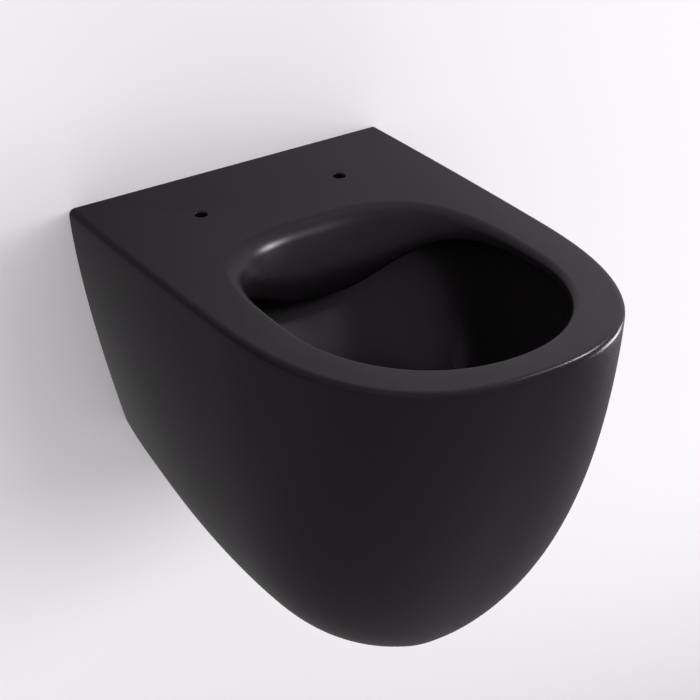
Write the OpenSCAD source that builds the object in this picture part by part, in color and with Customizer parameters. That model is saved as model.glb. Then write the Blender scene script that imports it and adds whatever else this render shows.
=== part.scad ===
// Wall hung toilet pan with its concealed fixing set and its connectors.
// The wall plane is y = 0, the pan's front points to -Y, and +Z is up.
// The origin is midway between the two wall studs, on the wall plane.

/* [Pan outside] */
// Greatest width across the rim
body_width = 360; // [340:1:380]
// Width of the top edge where it meets the wall
wall_width = 351; // [330:1:360]
// Reach of the rim from the wall
projection = 498; // [470:1:540]
// Height from the deck to the lowest point of the belly
body_height = 353; // [335:1:380]
// Height of the side edge that touches the wall
wall_height = 245; // [235:1:262]
// Distance of the belly's lowest point from the wall
belly_reach = 351; // [320:1:380]
// Distance of the shoulder from the wall, at the deck
shoulder_reach = 257; // [230:1:290]
// Distance of the shoulder from the wall, at the belly
belly_shoulder_reach = 276; // [240:1:300]
// Radius of the deck's outer edge
edge_radius = 6.5; // [3:0.5:10]
// Thickness of the outer shell
shell_wall = 10; // [8:0.5:13]
// Thickness of the deck
deck_thickness = 14; // [11:0.5:18]

/* [Bowl] */
// Distance of the middle of the opening from the wall
opening_middle = 314; // [308:1:318]
// Half width of the opening, where its edge starts to round
opening_half_width = 138; // [130:1:140]
// Reach of the opening forward of its middle
opening_front = 152; // [144:1:154]
// Reach of the opening back from its middle
opening_back = 178; // [172:1:181]
// Radius of the opening's edge at the sides and front
rim_radius = 7; // [5:0.5:9]
// Radius of the opening's edge at the back, over the hood
hood_radius = 12; // [10:0.5:15]
// Depth of the rim's lip at the front
lip_depth = 13; // [12.5:0.5:18]
// How much deeper the hood hangs at the back than the lip at the front
hood_drop = 53; // [48:1:58]
// How far the hood leans forward at its lower edge, at the back
hood_lean = 29; // [22:0.5:34]
// How far the hood leans in from the sides at its lower edge
hood_side_lean = 38; // [30:0.5:44]
// How far the bowl widens behind the lip
undercut = 15; // [13:0.5:18]
// How far the gutter reaches behind the opening's back edge
gutter_set = 2; // [0:0.5:4]
// Depth of the sump's floor below the deck
sump_depth = 293; // [285:1:300]
// Half width of the sump
sump_half_width = 40; // [34:1:48]
// Distance of the sump's middle from the wall
sump_middle = 262; // [255:1:270]
// Distance of the sump's back from the wall
sump_back = 230; // [222:1:236]
// Distance of the sump's front from the wall
sump_front = 300; // [290:1:315]
// Thickness of the bowl's wall
bowl_wall = 10; // [8:0.5:12]

/* [Trapway] */
// Half height of the trap's passage
trap_half_height = 29; // [27:0.5:32]
// Half width of the trap's passage
trap_half_width = 40; // [36:0.5:44]
// Thickness of the trap's wall
trap_wall = 9; // [7:0.5:10]
// Depth of the passage's middle at the sump
trap_low_depth = 261; // [258:1:265]
// Depth of the passage's middle over the weir
trap_high_depth = 156; // [150:1:160]
// Bend radius of the passage's middle line in the trap
trap_bend = 46; // [45:0.5:50]
// Bend radius of the passage's middle line between horn and weir
horn_bend = 56; // [53:0.5:58]
// Steepness of the rising leg
trap_rise_angle = 70; // [66:1:74]

/* [Wall connections] */
// Depth of the stud line below the deck
stud_depth = 85; // [80:1:90]
// Spacing of the two wall studs
stud_spacing = 180; // [176:1:190]
// Depth of the inlet's middle below the deck
inlet_depth = 50; // [46:1:54]
// Depth of the outlet's middle below the deck
outlet_depth = 185; // [180:1:188]
// Diameter of the inlet socket's bore
inlet_bore = 55; // [52:0.5:58]
// Length of the inlet socket's bore
inlet_socket_length = 45; // [38:1:50]
// Distance of the inlet socket's mouth from the wall
inlet_mouth = 30; // [25:1:35]
// Thickness of the inlet socket's wall
inlet_wall = 11; // [8:0.5:12]
// Diameter of the passage from the socket to the gutter behind the hood
feed_bore = 36; // [30:0.5:38]
// Outer diameter of the outlet horn
horn_diameter = 102; // [98:0.5:104]
// Thickness of the outlet horn's wall
horn_wall = 9; // [7:0.5:11]
// Length of the outlet horn's straight end
horn_length = 42; // [40:1:46]
// Distance of the outlet horn's end from the wall
horn_end = 12; // [8:1:16]

/* [Seat fixing holes] */
// Spacing of the two seat holes
seat_hole_spacing = 155; // [145:1:165]
// Distance of the seat holes from the wall
seat_hole_reach = 78; // [70:1:86]
// Diameter of the seat holes
seat_hole_diameter = 12; // [10:0.5:16]
// Diameter of the boss under each seat hole
seat_boss_diameter = 38; // [32:1:44]
// Thickness of the deck at the seat holes
seat_boss_thickness = 21; // [19:0.5:24]

/* [Concealed fixing] */
// Diameter of the wall studs
stud_diameter = 12; // [10:0.5:14]
// Length of each stud in front of the wall plane
stud_reach = 25; // [24:1:29]
// Length of each stud behind the wall plane
stud_anchor = 40; // [30:1:60]
// Thickness of the bracket's steel
bracket_steel = 4; // [3:0.5:5]
// Width of the bracket's arm
arm_width = 30; // [26:1:34]
// Width of the bracket's back plate
plate_width = 50; // [44:1:56]
// Height of the bracket's back plate
plate_height = 66; // [60:1:72]
// Height of the arm's top face over the stud line
arm_height = 18; // [17:0.5:20]
// Thickness of the pan's fixing rib
rib_thickness = 12; // [10:0.5:14]
// Distance of the rib's back face from the wall
rib_reach = 36; // [33:1:38]
// Depth of the rib's lower edge below the deck
rib_depth = 128; // [124:1:130]
// Thickness of the bearing pad on the arm
pad_thickness = 3; // [2:0.5:5]
// Width of the slot in the rib
slot_width = 36; // [35:0.5:42]
// Thickness of the wedge at its upper edge
wedge_top = 26; // [24:0.5:30]
// Slope of the wedge's front face
wedge_slope = 15; // [10:1:18]
// Width of the wedge
wedge_width = 54; // [50:1:60]
// Height of the wedge
wedge_height = 28; // [24:1:32]
// Diameter of the clamp screw
screw_diameter = 8; // [6:0.5:10]
// Diameter of the access holes under the pan
access_diameter = 24; // [20:0.5:28]

/* [Flush and drain connectors] */
// Outer diameter of the flush pipe
flush_pipe_diameter = 45; // [42:0.5:47]
// Wall thickness of the flush pipe
flush_pipe_wall = 2.5; // [2:0.1:3]
// Length of the flush pipe behind the wall plane
flush_pipe_anchor = 40; // [30:1:60]
// Outer diameter of the drain pipe
drain_pipe_diameter = 90; // [85:0.5:92]
// Wall thickness of the drain connector
drain_pipe_wall = 3.5; // [3:0.1:4.5]
// Length of the drain connector behind the wall plane
drain_pipe_anchor = 45; // [35:1:60]
// Length of the bell that takes the horn
bell_length = 42; // [38:1:46]
// Thickness of the rubber between horn and bell
bell_seal = 5; // [4:0.5:6]

/* [Hidden] */

// How finely round parts are drawn
$fn = 64;
// How far a cut runs past the face that it opens
overrun = 2;
// Space left between a piece and the hole that it passes through
clearance = 0.3;

// Exponents of the outside: how the width and the reach fall with depth, and how full each outline is
width_fall = 3.35;
width_round = 2.6;
reach_fall = 1.31;
reach_round = 1.43;
under_fall = 0.87;
under_round = 1.68;
foot_fall = 2.51;
foot_round = 2.02;
wall_taper_fall = 1.37;
side_bow = 2.05;
front_square = 2.54;
// Width at the foot of the wall edge, as a share of its width at the deck
foot_share = 0.71;

// Exponents of the bowl: how full the opening's outline is at the front and at the back, and the rest
opening_square = 2.11;
opening_back_square = 3;
hood_fade = 10.1;
bowl_fall = 1.5;
bowl_round = 1.1;
bowl_floor_fall = 10;
// Where the bowl's back leaves the hood, and how long it slopes, as shares of the bowl's depth
back_start_share = 0.05;
back_length_share = 0.6;
// Radius of the lower edge of lip and hood, and thickness of the hood's skirt
lip_radius = 4;
skirt_thickness = 11;
// How much of the hood's lean the back of its skirt follows, so that the skirt thickens downwards
skirt_lean_share = 0.5;
// Height of the gutter behind the skirt, and the fillet in its outer corner
gutter_height = 42;
gutter_fillet = 5;

// Counts of points along a side and round the front of an outline, for the shell and for its hollow
outside_side_points = 8;
outside_front_points = 17;
inside_side_points = 5;
inside_front_points = 11;
// Counts of outlines down the height: on the rounded edge, along the wall edge and under the belly
edge_steps = 3;
wall_steps = 13;
belly_steps = 9;
hollow_wall_steps = 7;
hollow_belly_steps = 6;
// Counts of points round the bowl, inside and outside
bowl_points = 44;
bowl_outer_points = 32;
// Angles at which the opening's edge and the lip's lower edge have an outline
edge_angles = [15, 35, 55, 75, 90];
lip_angles = [45, 90];
skirt_steps = 4;
// Where the bowl's wall has an outline, as shares of its depth, inside and outside
bowl_depth_shares = [0, 0.07, 0.15, 0.24, 0.34, 0.45, 0.57, 0.69, 0.8, 0.89, 0.95, 0.985];
bowl_outer_shares = [0.08, 0.2, 0.3, 0.4, 0.5, 0.62, 0.75, 0.86, 0.94, 0.985];
// Counts of stations along the trap's bends, of stations over which it turns oval, and of points round it
rise_steps = 3;
weir_steps = 4;
fall_steps = 5;
level_steps = 4;
oval_steps = 6;
trap_points = 20;

deck_z = stud_depth;
inlet_z = deck_z - inlet_depth;
outlet_z = deck_z - outlet_depth;

// Derived sizes of the connectors
bell_diameter = horn_diameter + 2 * bell_seal + 2 * drain_pipe_wall;
bell_gap = 3;
bell_mouth = horn_end - bell_gap + bell_length;
seal_lip = 3;
seal_collar = 5;
seal_ribs = 3;
seal_rib_width = 7;
seal_groove_width = 4;
seal_groove_depth = 1.5;
seal_end = inlet_mouth + seal_ribs * seal_rib_width + (seal_ribs - 1) * seal_groove_width;
restrictor_thickness = 5;
restrictor_bore = 26;
restrictor_web = 3;
pipe_end = inlet_mouth + inlet_socket_length - restrictor_thickness - 2 * seal_lip;
horn_overlap = 3;
sump_tail = 22;
relief_inset = 12;
// How far the feed's bore runs on into the gutter, short of the hood's skirt
feed_overrun = 4;

// Derived sizes of the fixing set
stud_x = stud_spacing / 2;
// How much thinner the stud's thread is than its end in the wall
thread_relief = 0.4;
thread_diameter = stud_diameter - thread_relief;
washer_diameter = 2 * stud_diameter;
washer_thickness = 2.5;
nut_corner_share = 1.83;
nut_height_share = 0.9;
nut_corners = nut_corner_share * stud_diameter;
nut_height = nut_height_share * stud_diameter;
flange_width = bracket_steel / cos(wedge_slope);
wedge_travel = 4;
wedge_z = arm_height - bracket_steel - wedge_travel;
arm_reach = rib_reach + rib_thickness + wedge_top + flange_width - (arm_height - wedge_z) * tan(wedge_slope);
flange_overlap = 6;
flange_height = wedge_height + flange_overlap;
slot_play = 4;
slot_high = arm_height + pad_thickness;
slot_low = arm_height - flange_height - slot_play;
pad_lip = 2;
screw_head_share = 1.625;
screw_key_share = 0.85;
screw_head_diameter = screw_head_share * screw_diameter;
screw_key = screw_key_share * screw_diameter;
screw_play = 2;
screw_reach = rib_reach + rib_thickness + wedge_top / 2;
cap_thickness = 2.5;

function smooth(t) = let (u = min(max(t, 0), 1)) u * u * (3 - 2 * u);
function share(t, fall, round) = pow(max(0, 1 - pow(max(t, 0), fall)), 1 / round);
function bent(c, square) = sign(c) * pow(abs(c), 2 / square);

// A closed surface from rings of equally many points, closed at both ends by a flat or a pole
module rings_solid(rings, pole = undef) {
    n = len(rings[0]);
    k = len(rings);
    points = [for (ring = rings) for (p = ring) p];
    walls = [for (i = [0 : k - 2]) for (j = [0 : n - 1])
        let (a = i * n + j, b = i * n + (j + 1) % n, c = a + n, d = b + n)
        each [[a, c, d], [a, d, b]]];
    first = [for (j = [0 : n - 1]) j];
    last = is_undef(pole)
        ? [[for (j = [n - 1 : -1 : 0]) (k - 1) * n + j]]
        : [for (j = [0 : n - 1]) [(k - 1) * n + j, k * n, (k - 1) * n + (j + 1) % n]];
    polyhedron(is_undef(pole) ? points : concat(points, [pole]), concat([first], walls, last));
}

// One outline of the outside at a depth below the deck, grown by a distance.
// It runs from the back corner on +X round the front to the back corner on -X.
function outside_ring(depth, grow, back, sides, fronts) =
    let (
        high = body_height + grow,
        wall_high = wall_height + grow,
        inset = depth < edge_radius && grow == 0
            ? edge_radius - sqrt(pow(edge_radius, 2) - pow(edge_radius - depth, 2)) : 0,
        half = (body_width / 2 + grow) * share(depth / high, width_fall, width_round) - inset,
        front = belly_reach + (projection + grow - belly_reach) * share(depth / high, reach_fall, reach_round)
            - inset,
        low = (depth - wall_high) / (high - wall_high),
        foot = wall_width / 2 + grow,
        half_back = depth <= wall_high
            ? foot * (1 - (1 - foot_share) * pow(depth / wall_high, wall_taper_fall)) - inset
            : foot * foot_share * share(low, foot_fall, foot_round),
        back_reach = depth <= wall_high ? back
            : max(back, belly_reach * (1 - pow(max(0, 1 - pow(low, under_fall)), 1 / under_round))),
        shoulder = max(shoulder_reach + (belly_shoulder_reach - shoulder_reach) * depth / high, back_reach),
        side = [for (i = [0 : sides - 1])
            let (t = i / sides, y = back_reach + (shoulder - back_reach) * t)
            [half - (half - half_back) * pow(1 - t, side_bow), -y, deck_z - depth]],
        nose = [for (i = [0 : fronts])
            let (angle = 90 * (1 - i / fronts))
            [half * bent(sin(angle), front_square), -shoulder - (front - shoulder) * bent(cos(angle), front_square),
                deck_z - depth]],
        right = concat(side, nose)
    )
    concat(right, [for (i = [len(right) - 2 : -1 : 0]) [-right[i][0], right[i][1], right[i][2]]]);

// The whole outside as one solid, its outlines set over the rounded edge, the wall edge and the belly
module outside() {
    depths = concat(
        [for (i = [0 : edge_steps]) edge_radius * (1 - cos(90 * i / edge_steps))],
        [for (i = [1 : wall_steps]) edge_radius + (wall_height - edge_radius) * i / wall_steps],
        [for (i = [1 : belly_steps - 1]) wall_height + (body_height - wall_height) * sin(90 * i / belly_steps)]
    );
    rings_solid(
        [for (d = depths) outside_ring(d, 0, 0, outside_side_points, outside_front_points)],
        [0, -belly_reach, deck_z - body_height]
    );
}

// The hollow inside the shell, open to the wall
module shell_hollow() {
    wall_depth = wall_height - shell_wall;
    depths = concat(
        [for (i = [0 : hollow_wall_steps]) deck_thickness + (wall_depth - deck_thickness) * i / hollow_wall_steps],
        [for (i = [1 : hollow_belly_steps - 1])
            wall_depth + (body_height - wall_height) * sin(90 * i / hollow_belly_steps)]
    );
    rings_solid(
        [for (d = depths) outside_ring(d, -shell_wall, -overrun, inside_side_points, inside_front_points)],
        [0, -belly_reach, deck_z - body_height + shell_wall]
    );
}

// A point of an outline round the opening, where turn 0 looks back to the wall
function opening_point(turn, half_width, front, back, middle, z) =
    let (
        square = cos(turn) > 0 ? opening_back_square : opening_square,
        s = bent(sin(turn), square),
        c = bent(cos(turn), square)
    )
    [half_width * s, -middle + (c > 0 ? back : front) * c, z];

function hood_share(turn) = pow(abs(cos(turn / 2)), hood_fade);
function lip_bottom(turn) = lip_depth + hood_drop * hood_share(turn);
// Depth of the gutter's roof behind the hood's skirt
function gutter_roof(turn) = lip_depth + (hood_drop - gutter_height) * hood_share(turn);
// How much of its lean the hood's face has at a depth below the deck, upright at its lower edge
function lean_share(turn, drop) = hood_share(turn) * sin(90 * min(max(drop, 0) / lip_bottom(turn), 1));

// The rounded edge of the opening at an angle from the deck: side 1 goes down into it, -1 up and out of it
function edge_point(turn, angle, side) =
    let (
        in_share = side * sin(angle),
        radius = rim_radius + (hood_radius - rim_radius) * hood_share(turn),
        drop = side * radius * (1 - cos(angle)),
        lean = lean_share(turn, drop)
    )
    opening_point(
        turn,
        opening_half_width - rim_radius * in_share - hood_side_lean * lean,
        opening_front - rim_radius * in_share,
        opening_back - hood_radius * in_share - hood_lean * lean,
        opening_middle,
        deck_z - drop
    );

// A face of the lip or the hood, a step behind its inner face, with a share of its lean
function lip_point(turn, lean, back_step, drop) =
    opening_point(
        turn,
        opening_half_width - rim_radius - hood_side_lean * lean + back_step,
        opening_front - rim_radius + back_step,
        opening_back - hood_radius - hood_lean * lean + back_step,
        opening_middle,
        deck_z - drop
    );

// Distance of the gutter's back from the wall
gutter_reach = opening_middle - opening_back - gutter_set;

// The bowl's wall below the lip, at a share of the way down to the sump's floor
function bowl_sizes(t, grow) =
    let (
        open_share = share(t, bowl_fall, bowl_round),
        floor_share = share(t, bowl_floor_fall, 2),
        half = sump_half_width + (opening_half_width - rim_radius + undercut - sump_half_width) * open_share,
        middle = sump_middle + (opening_middle - sump_middle) * open_share,
        front = sump_front + (opening_middle + opening_front - rim_radius + undercut - sump_front) * open_share,
        back = gutter_reach + (sump_back - gutter_reach) * smooth((t - back_start_share) / back_length_share)
    )
    [half * floor_share + grow, middle, (front - middle) * floor_share + grow, (middle - back) * floor_share + grow];

// A point of the bowl's inner wall, at a share of the way from the gutter down to the sump's floor
function wall_point(turn, t) =
    let (
        top = gutter_roof(turn) + gutter_fillet,
        depth = top + (sump_depth - top) * t,
        s = bowl_sizes((depth - lip_depth) / (sump_depth - lip_depth), 0)
    )
    opening_point(turn, s[0], s[2], s[3], s[1], deck_z - depth);

// The water's space: from the opening's edge round the lip and hood, and down the bowl to the sump
module bowl_hollow() {
    turns = [for (j = [0 : bowl_points - 1]) 360 * j / bowl_points];
    rings = concat(
        [[for (a = turns) edge_point(a, edge_angles[0], -1)]],
        [for (k = edge_angles) [for (a = turns) edge_point(a, k, 1)]],
        [for (k = [1 : skirt_steps]) [for (a = turns)
            let (
                start = rim_radius + (hood_radius - rim_radius) * hood_share(a),
                last = lip_bottom(a) - lip_radius,
                drop = start + (last - start) * k / skirt_steps
            )
            lip_point(a, lean_share(a, drop), 0, drop)]],
        [for (k = lip_angles) [for (a = turns)
            lip_point(a, hood_share(a), lip_radius * (1 - cos(k)), lip_bottom(a) - lip_radius * (1 - sin(k)))]],
        [[for (a = turns)
            lip_point(a, hood_share(a) * skirt_lean_share, skirt_thickness - lip_radius, lip_bottom(a))]],
        [[for (a = turns)
            lip_point(a, lean_share(a, gutter_roof(a)) * skirt_lean_share, skirt_thickness, gutter_roof(a))]],
        [for (t = bowl_depth_shares) [for (a = turns) wall_point(a, t)]]
    );
    rings_solid(rings, [0, -sump_middle, deck_z - sump_depth]);
}

// The outer face of the bowl's wall
module bowl_outside() {
    shares = concat([0], bowl_outer_shares);
    depths = concat(
        [deck_thickness / 2],
        [for (t = bowl_outer_shares) lip_depth + (sump_depth - lip_depth) * t + bowl_wall]
    );
    rings_solid([for (i = [0 : len(shares) - 1])
        let (s = bowl_sizes(shares[i], bowl_wall))
        [for (j = [0 : bowl_outer_points - 1])
            opening_point(360 * j / bowl_outer_points, s[0], s[2], s[3], s[1], deck_z - depths[i])]],
        [0, -sump_middle, deck_z - sump_depth - bowl_wall]
    );
}

// Stations along a bend of the trap's middle line, each with its reach from the wall, depth and steepness
function bend_stations(start, radius, from, to, way, steps) =
    [for (i = [0 : steps])
        let (a = from + (to - from) * i / steps)
        [start[0] + way * radius * (sin(a) - sin(from)), start[1] - way * radius * (cos(from) - cos(a)), a]];

horn_start = horn_end + horn_length;
horn_rise = outlet_depth - trap_high_depth;
horn_way = horn_rise < 0 ? -1 : 1;
horn_rise_angle = horn_way * acos(1 - abs(horn_rise) / (2 * horn_bend));
trap_straight = (trap_low_depth - trap_high_depth - 2 * trap_bend * (1 - cos(trap_rise_angle)))
    / sin(trap_rise_angle);

// The middle line from the horn over the weir and down into the sump
function trap_line(lead, tail) =
    let (
        up = bend_stations([horn_start, outlet_depth], horn_bend, 0, horn_rise_angle, horn_way, rise_steps),
        over = bend_stations(up[rise_steps], horn_bend, horn_rise_angle, 0, -horn_way, weir_steps),
        down = bend_stations(over[weir_steps], trap_bend, 0, -trap_rise_angle, -1, fall_steps),
        foot = down[fall_steps],
        low_start = [foot[0] + trap_straight * cos(trap_rise_angle), foot[1] + trap_straight * sin(trap_rise_angle)],
        level = bend_stations(low_start, trap_bend, -trap_rise_angle, 0, 1, level_steps)
    )
    concat(
        [[horn_start - lead, outlet_depth, 0]],
        [for (i = [1 : rise_steps]) up[i]],
        [for (i = [1 : weir_steps]) over[i]],
        [for (i = [1 : fall_steps]) down[i]],
        level,
        [[level[level_steps][0] + tail, trap_low_depth, 0]]
    );

// A tube's solid along the trap's middle line, round at the horn and oval in the trap
module trap_solid(grow, lead, tail) {
    line = trap_line(lead, tail);
    horn_radius = horn_diameter / 2 - horn_wall - clearance;
    rings_solid([for (i = [0 : len(line) - 1])
        let (
            s = line[i],
            oval = smooth(i / oval_steps),
            wide = horn_radius + (trap_half_width - horn_radius) * oval + grow,
            high = horn_radius + (trap_half_height - horn_radius) * oval + grow
        )
        [for (j = [0 : trap_points - 1])
            let (a = 360 * j / trap_points)
            [wide * cos(a), -s[0] + high * sin(a) * sin(s[2]), deck_z - s[1] + high * sin(a) * cos(s[2])]]]);
}

// A round bar along Y, from one reach to another
module bar(diameter, depth, from, to, x = 0) {
    translate([x, -from, deck_z - depth]) rotate([90, 0, 0]) cylinder(d = diameter, h = to - from);
}

module both_sides() {
    children();
    mirror([1, 0, 0]) children();
}

// Depth of the underside at a reach from the wall
function under_depth(reach) =
    wall_height + (body_height - wall_height)
        * pow(1 - pow(1 - reach / belly_reach, under_round), 1 / under_fall);
slope_step = access_diameter / 2;
under_slope = atan((under_depth(screw_reach + slope_step) - under_depth(screw_reach - slope_step))
    / (2 * slope_step));

// Turns its children so that z = 0 lies on the underside below a clamp screw, with +Z into the pan
module at_access_hole() {
    translate([stud_x, -screw_reach, deck_z - under_depth(screw_reach)]) rotate([under_slope, 0, 0]) children();
}

// What stands in the hollow behind the bowl: the bowl's wall, the trap, the horn, the socket, the rib and the bosses
module inner_ceramic() {
    bowl_outside();
    trap_solid(trap_wall, horn_overlap, sump_tail + trap_wall);
    bar(horn_diameter, outlet_depth, horn_end, horn_start);
    bar(inlet_bore + 2 * inlet_wall, inlet_depth, inlet_mouth, inlet_mouth + inlet_socket_length + inlet_wall);
    bar(feed_bore + 2 * inlet_wall, inlet_depth, inlet_mouth + inlet_socket_length, gutter_reach);
    both_sides() translate([seat_hole_spacing / 2, -seat_hole_reach, deck_z - seat_boss_thickness])
        cylinder(d = seat_boss_diameter, h = seat_boss_thickness - deck_thickness / 2);
    difference() {
        translate([-body_width / 2, -rib_reach - rib_thickness, deck_z - rib_depth])
            cube([body_width, rib_thickness, rib_depth - deck_thickness / 2]);
        bar(bell_diameter + 2 * bell_gap, outlet_depth, rib_reach - overrun, rib_reach + rib_thickness + overrun);
    }
}

// The notch in the lower back edge that makes room for the drain bell, and a space round the bell
module drain_relief() {
    half = bell_diameter / 2 - relief_inset;
    height = 3 * shell_wall;
    bar(bell_diameter + bell_gap, outlet_depth, -overrun, bell_mouth + seal_lip + bell_gap);
    translate([0, -bell_mouth + half, deck_z - wall_height - 2 * shell_wall]) {
        cylinder(r = half, h = height);
        translate([-half, 0, 0]) cube([2 * half, bell_mouth - half + overrun, height]);
    }
}

// Everything cut out of the solid outside
module pan_openings() {
    difference() {
        union() {
            shell_hollow();
            drain_relief();
        }
        inner_ceramic();
    }
    bowl_hollow();
    trap_solid(0, horn_overlap + clearance, sump_tail);
    bar(horn_diameter - 2 * horn_wall, outlet_depth, horn_end - overrun, horn_start);
    bar(inlet_bore, inlet_depth, inlet_mouth - overrun, inlet_mouth + inlet_socket_length);
    bar(feed_bore, inlet_depth, inlet_mouth + inlet_socket_length - overrun, gutter_reach + feed_overrun);
    both_sides() {
        translate([seat_hole_spacing / 2, -seat_hole_reach, deck_z - seat_boss_thickness - overrun])
            cylinder(d = seat_hole_diameter, h = seat_boss_thickness + 2 * overrun);
        translate([stud_x - slot_width / 2, -rib_reach - rib_thickness - overrun, slot_low])
            cube([slot_width, rib_thickness + 2 * overrun, slot_high - slot_low]);
        at_access_hole() translate([0, 0, -overrun])
            cylinder(d = access_diameter, h = 2 * shell_wall + overrun);
    }
}

// Glazed vitreous china, cast in one piece
module pan() {
    color("#2c2a2c") difference() {
        outside();
        pan_openings();
    }
}

// A ring of moulded plastic at the bottom of the inlet socket, with a star of four webs across its bore
module flow_restrictor() {
    bottom = inlet_mouth + inlet_socket_length;
    color("#d8d8d4") {
        difference() {
            bar(inlet_bore - 2 * clearance, inlet_depth, bottom - restrictor_thickness, bottom);
            bar(restrictor_bore, inlet_depth, bottom - restrictor_thickness - overrun, bottom + overrun);
        }
        intersection() {
            bar(restrictor_bore + restrictor_web, inlet_depth, bottom - restrictor_thickness, bottom);
            for (turn = [0, 90])
                translate([0, -bottom + restrictor_thickness / 2, inlet_z]) rotate([0, turn, 0])
                    cube([restrictor_bore * 2, restrictor_thickness, restrictor_web], center = true);
        }
    }
}

// A profile of [radius, reach] points turned round a connector's axis
module turned(depth, profile) {
    translate([0, 0, deck_z - depth]) rotate([90, 0, 0]) rotate_extrude() polygon(profile);
}

// A rubber sleeve with three ribs and a collar, which seals the flush pipe in the socket
module inlet_seal() {
    out = inlet_bore / 2 - clearance;
    in = flush_pipe_diameter / 2 + clearance;
    collar = inlet_bore / 2 + seal_collar;
    pitch = seal_rib_width + seal_groove_width;
    color("#1d1d1f") turned(inlet_depth, concat(
        [[in, inlet_mouth - seal_lip], [collar - seal_lip / 2, inlet_mouth - seal_lip],
            [collar, inlet_mouth - seal_lip / 2], [collar, inlet_mouth]],
        [for (i = [0 : seal_ribs - 1])
            let (start = inlet_mouth + i * pitch, next = start + pitch)
            each concat(
                [[out, start], [out, start + seal_rib_width]],
                i < seal_ribs - 1
                    ? [[out - seal_groove_depth, start + seal_rib_width], [out - seal_groove_depth, next]] : []
            )],
        [[in, seal_end]]
    ));
}

// A plastic pipe, chamfered at both ends, with a groove that marks how far it goes in
module flush_pipe() {
    out = flush_pipe_diameter / 2;
    in = out - flush_pipe_wall;
    chamfer = flush_pipe_wall / 2;
    color("#3a3d40") turned(inlet_depth, [
        [in, -flush_pipe_anchor], [out - chamfer, -flush_pipe_anchor], [out, -flush_pipe_anchor + chamfer],
        [out, 0], [out - chamfer / 2, 0], [out - chamfer / 2, chamfer], [out, chamfer],
        [out, pipe_end - chamfer], [out - chamfer, pipe_end], [in, pipe_end]
    ]);
}

// A rubber ring between the horn and the bell, with a lip over the bell's mouth
module outlet_seal() {
    in = horn_diameter / 2 + clearance;
    out = bell_diameter / 2 - drain_pipe_wall - clearance;
    color("#1d1d1f") turned(outlet_depth, [
        [in, bell_mouth - bell_length / 2], [out, bell_mouth - bell_length / 2], [out, bell_mouth],
        [bell_diameter / 2, bell_mouth], [bell_diameter / 2, bell_mouth + seal_lip / 2],
        [in, bell_mouth + seal_lip]
    ]);
}

// A plastic bell that takes the horn, drawn in to the drain pipe's size
module outlet_connector() {
    bell = bell_diameter / 2;
    pipe = drain_pipe_diameter / 2;
    wall = drain_pipe_wall;
    chamfer = wall / 2;
    throat = horn_end - bell_gap;
    color("#3a3d40") turned(outlet_depth, [
        [pipe - wall, -drain_pipe_anchor], [pipe - chamfer, -drain_pipe_anchor],
        [pipe, -drain_pipe_anchor + chamfer], [pipe, throat - wall - (bell - pipe) / 2],
        [bell, throat - wall + (bell - pipe) / 2], [bell, bell_mouth], [bell - wall, bell_mouth],
        [bell - wall, throat + (bell - pipe) / 2], [bell - wall - chamfer, throat],
        [pipe - wall, throat]
    ]);
}

// Zinc plated rods: a full end in the wall, and a thread in front of it, drawn at its outer diameter
module wall_studs() {
    color("#b9bcc0") both_sides() {
        bar(stud_diameter, stud_depth, -stud_anchor, 0, stud_x);
        bar(thread_diameter, stud_depth, -overrun, stud_reach, stud_x);
    }
}

module stud_washers() {
    color("#c4c7cb") both_sides() difference() {
        bar(washer_diameter, stud_depth, bracket_steel, bracket_steel + washer_thickness, stud_x);
        bar(stud_diameter + 2 * clearance, stud_depth, bracket_steel - overrun,
            bracket_steel + washer_thickness + overrun, stud_x);
    }
}

module stud_nuts() {
    start = bracket_steel + washer_thickness;
    color("#c4c7cb") both_sides() difference() {
        translate([stud_x, -start, 0]) rotate([90, 30, 0]) cylinder(d = nut_corners, h = nut_height, $fn = 6);
        bar(thread_diameter + clearance / 2, stud_depth, start - overrun, start + nut_height + overrun, stud_x);
    }
}

// Bent and welded steel: a back plate on the stud, an arm through the rib's slot, and a sloping flange
module bracket_right() {
    color("#9ea3a8") difference() {
        union() {
            translate([stud_x - plate_width / 2, -bracket_steel, -plate_height / 2])
                cube([plate_width, bracket_steel, plate_height]);
            translate([stud_x - arm_width / 2, 0, 0]) rotate([90, 0, 90]) linear_extrude(arm_width) polygon([
                [-bracket_steel / 2, arm_height - bracket_steel], [-bracket_steel / 2, arm_height],
                [-arm_reach, arm_height], [-arm_reach - flange_height * tan(wedge_slope), arm_height - flange_height],
                [-arm_reach - flange_height * tan(wedge_slope) + flange_width, arm_height - flange_height],
                [-arm_reach - bracket_steel * tan(wedge_slope) + flange_width, arm_height - bracket_steel]
            ]);
            translate([stud_x - bracket_steel / 2, 0, 0]) rotate([90, 0, 90]) linear_extrude(bracket_steel) polygon([
                [-bracket_steel / 2, arm_height - bracket_steel / 2],
                [-bracket_steel / 2, plate_height / 2 - bracket_steel],
                [-bracket_steel, plate_height / 2 - bracket_steel],
                [-rib_reach + 2 * bracket_steel, arm_height - bracket_steel / 2]
            ]);
        }
        bar(stud_diameter + 2 * clearance, stud_depth, -overrun, bracket_steel + overrun, stud_x);
        translate([stud_x, -screw_reach, arm_height - bracket_steel - overrun])
            cylinder(d = screw_diameter + clearance, h = bracket_steel + 2 * overrun);
    }
}

module bracket_left() {
    mirror([1, 0, 0]) bracket_right();
}

// A rubber saddle between the arm and the slot's upper edge, which carries the pan's weight
module bearing_pad_right() {
    length = rib_thickness + 2 * pad_lip;
    color("#26262a") translate([stud_x - arm_width / 2, -rib_reach - rib_thickness - pad_lip, arm_height])
        difference() {
            cube([arm_width, length, pad_thickness + pad_lip]);
            translate([-overrun, pad_lip, pad_thickness])
                cube([arm_width + 2 * overrun, rib_thickness, pad_lip + overrun]);
        }
}

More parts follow.
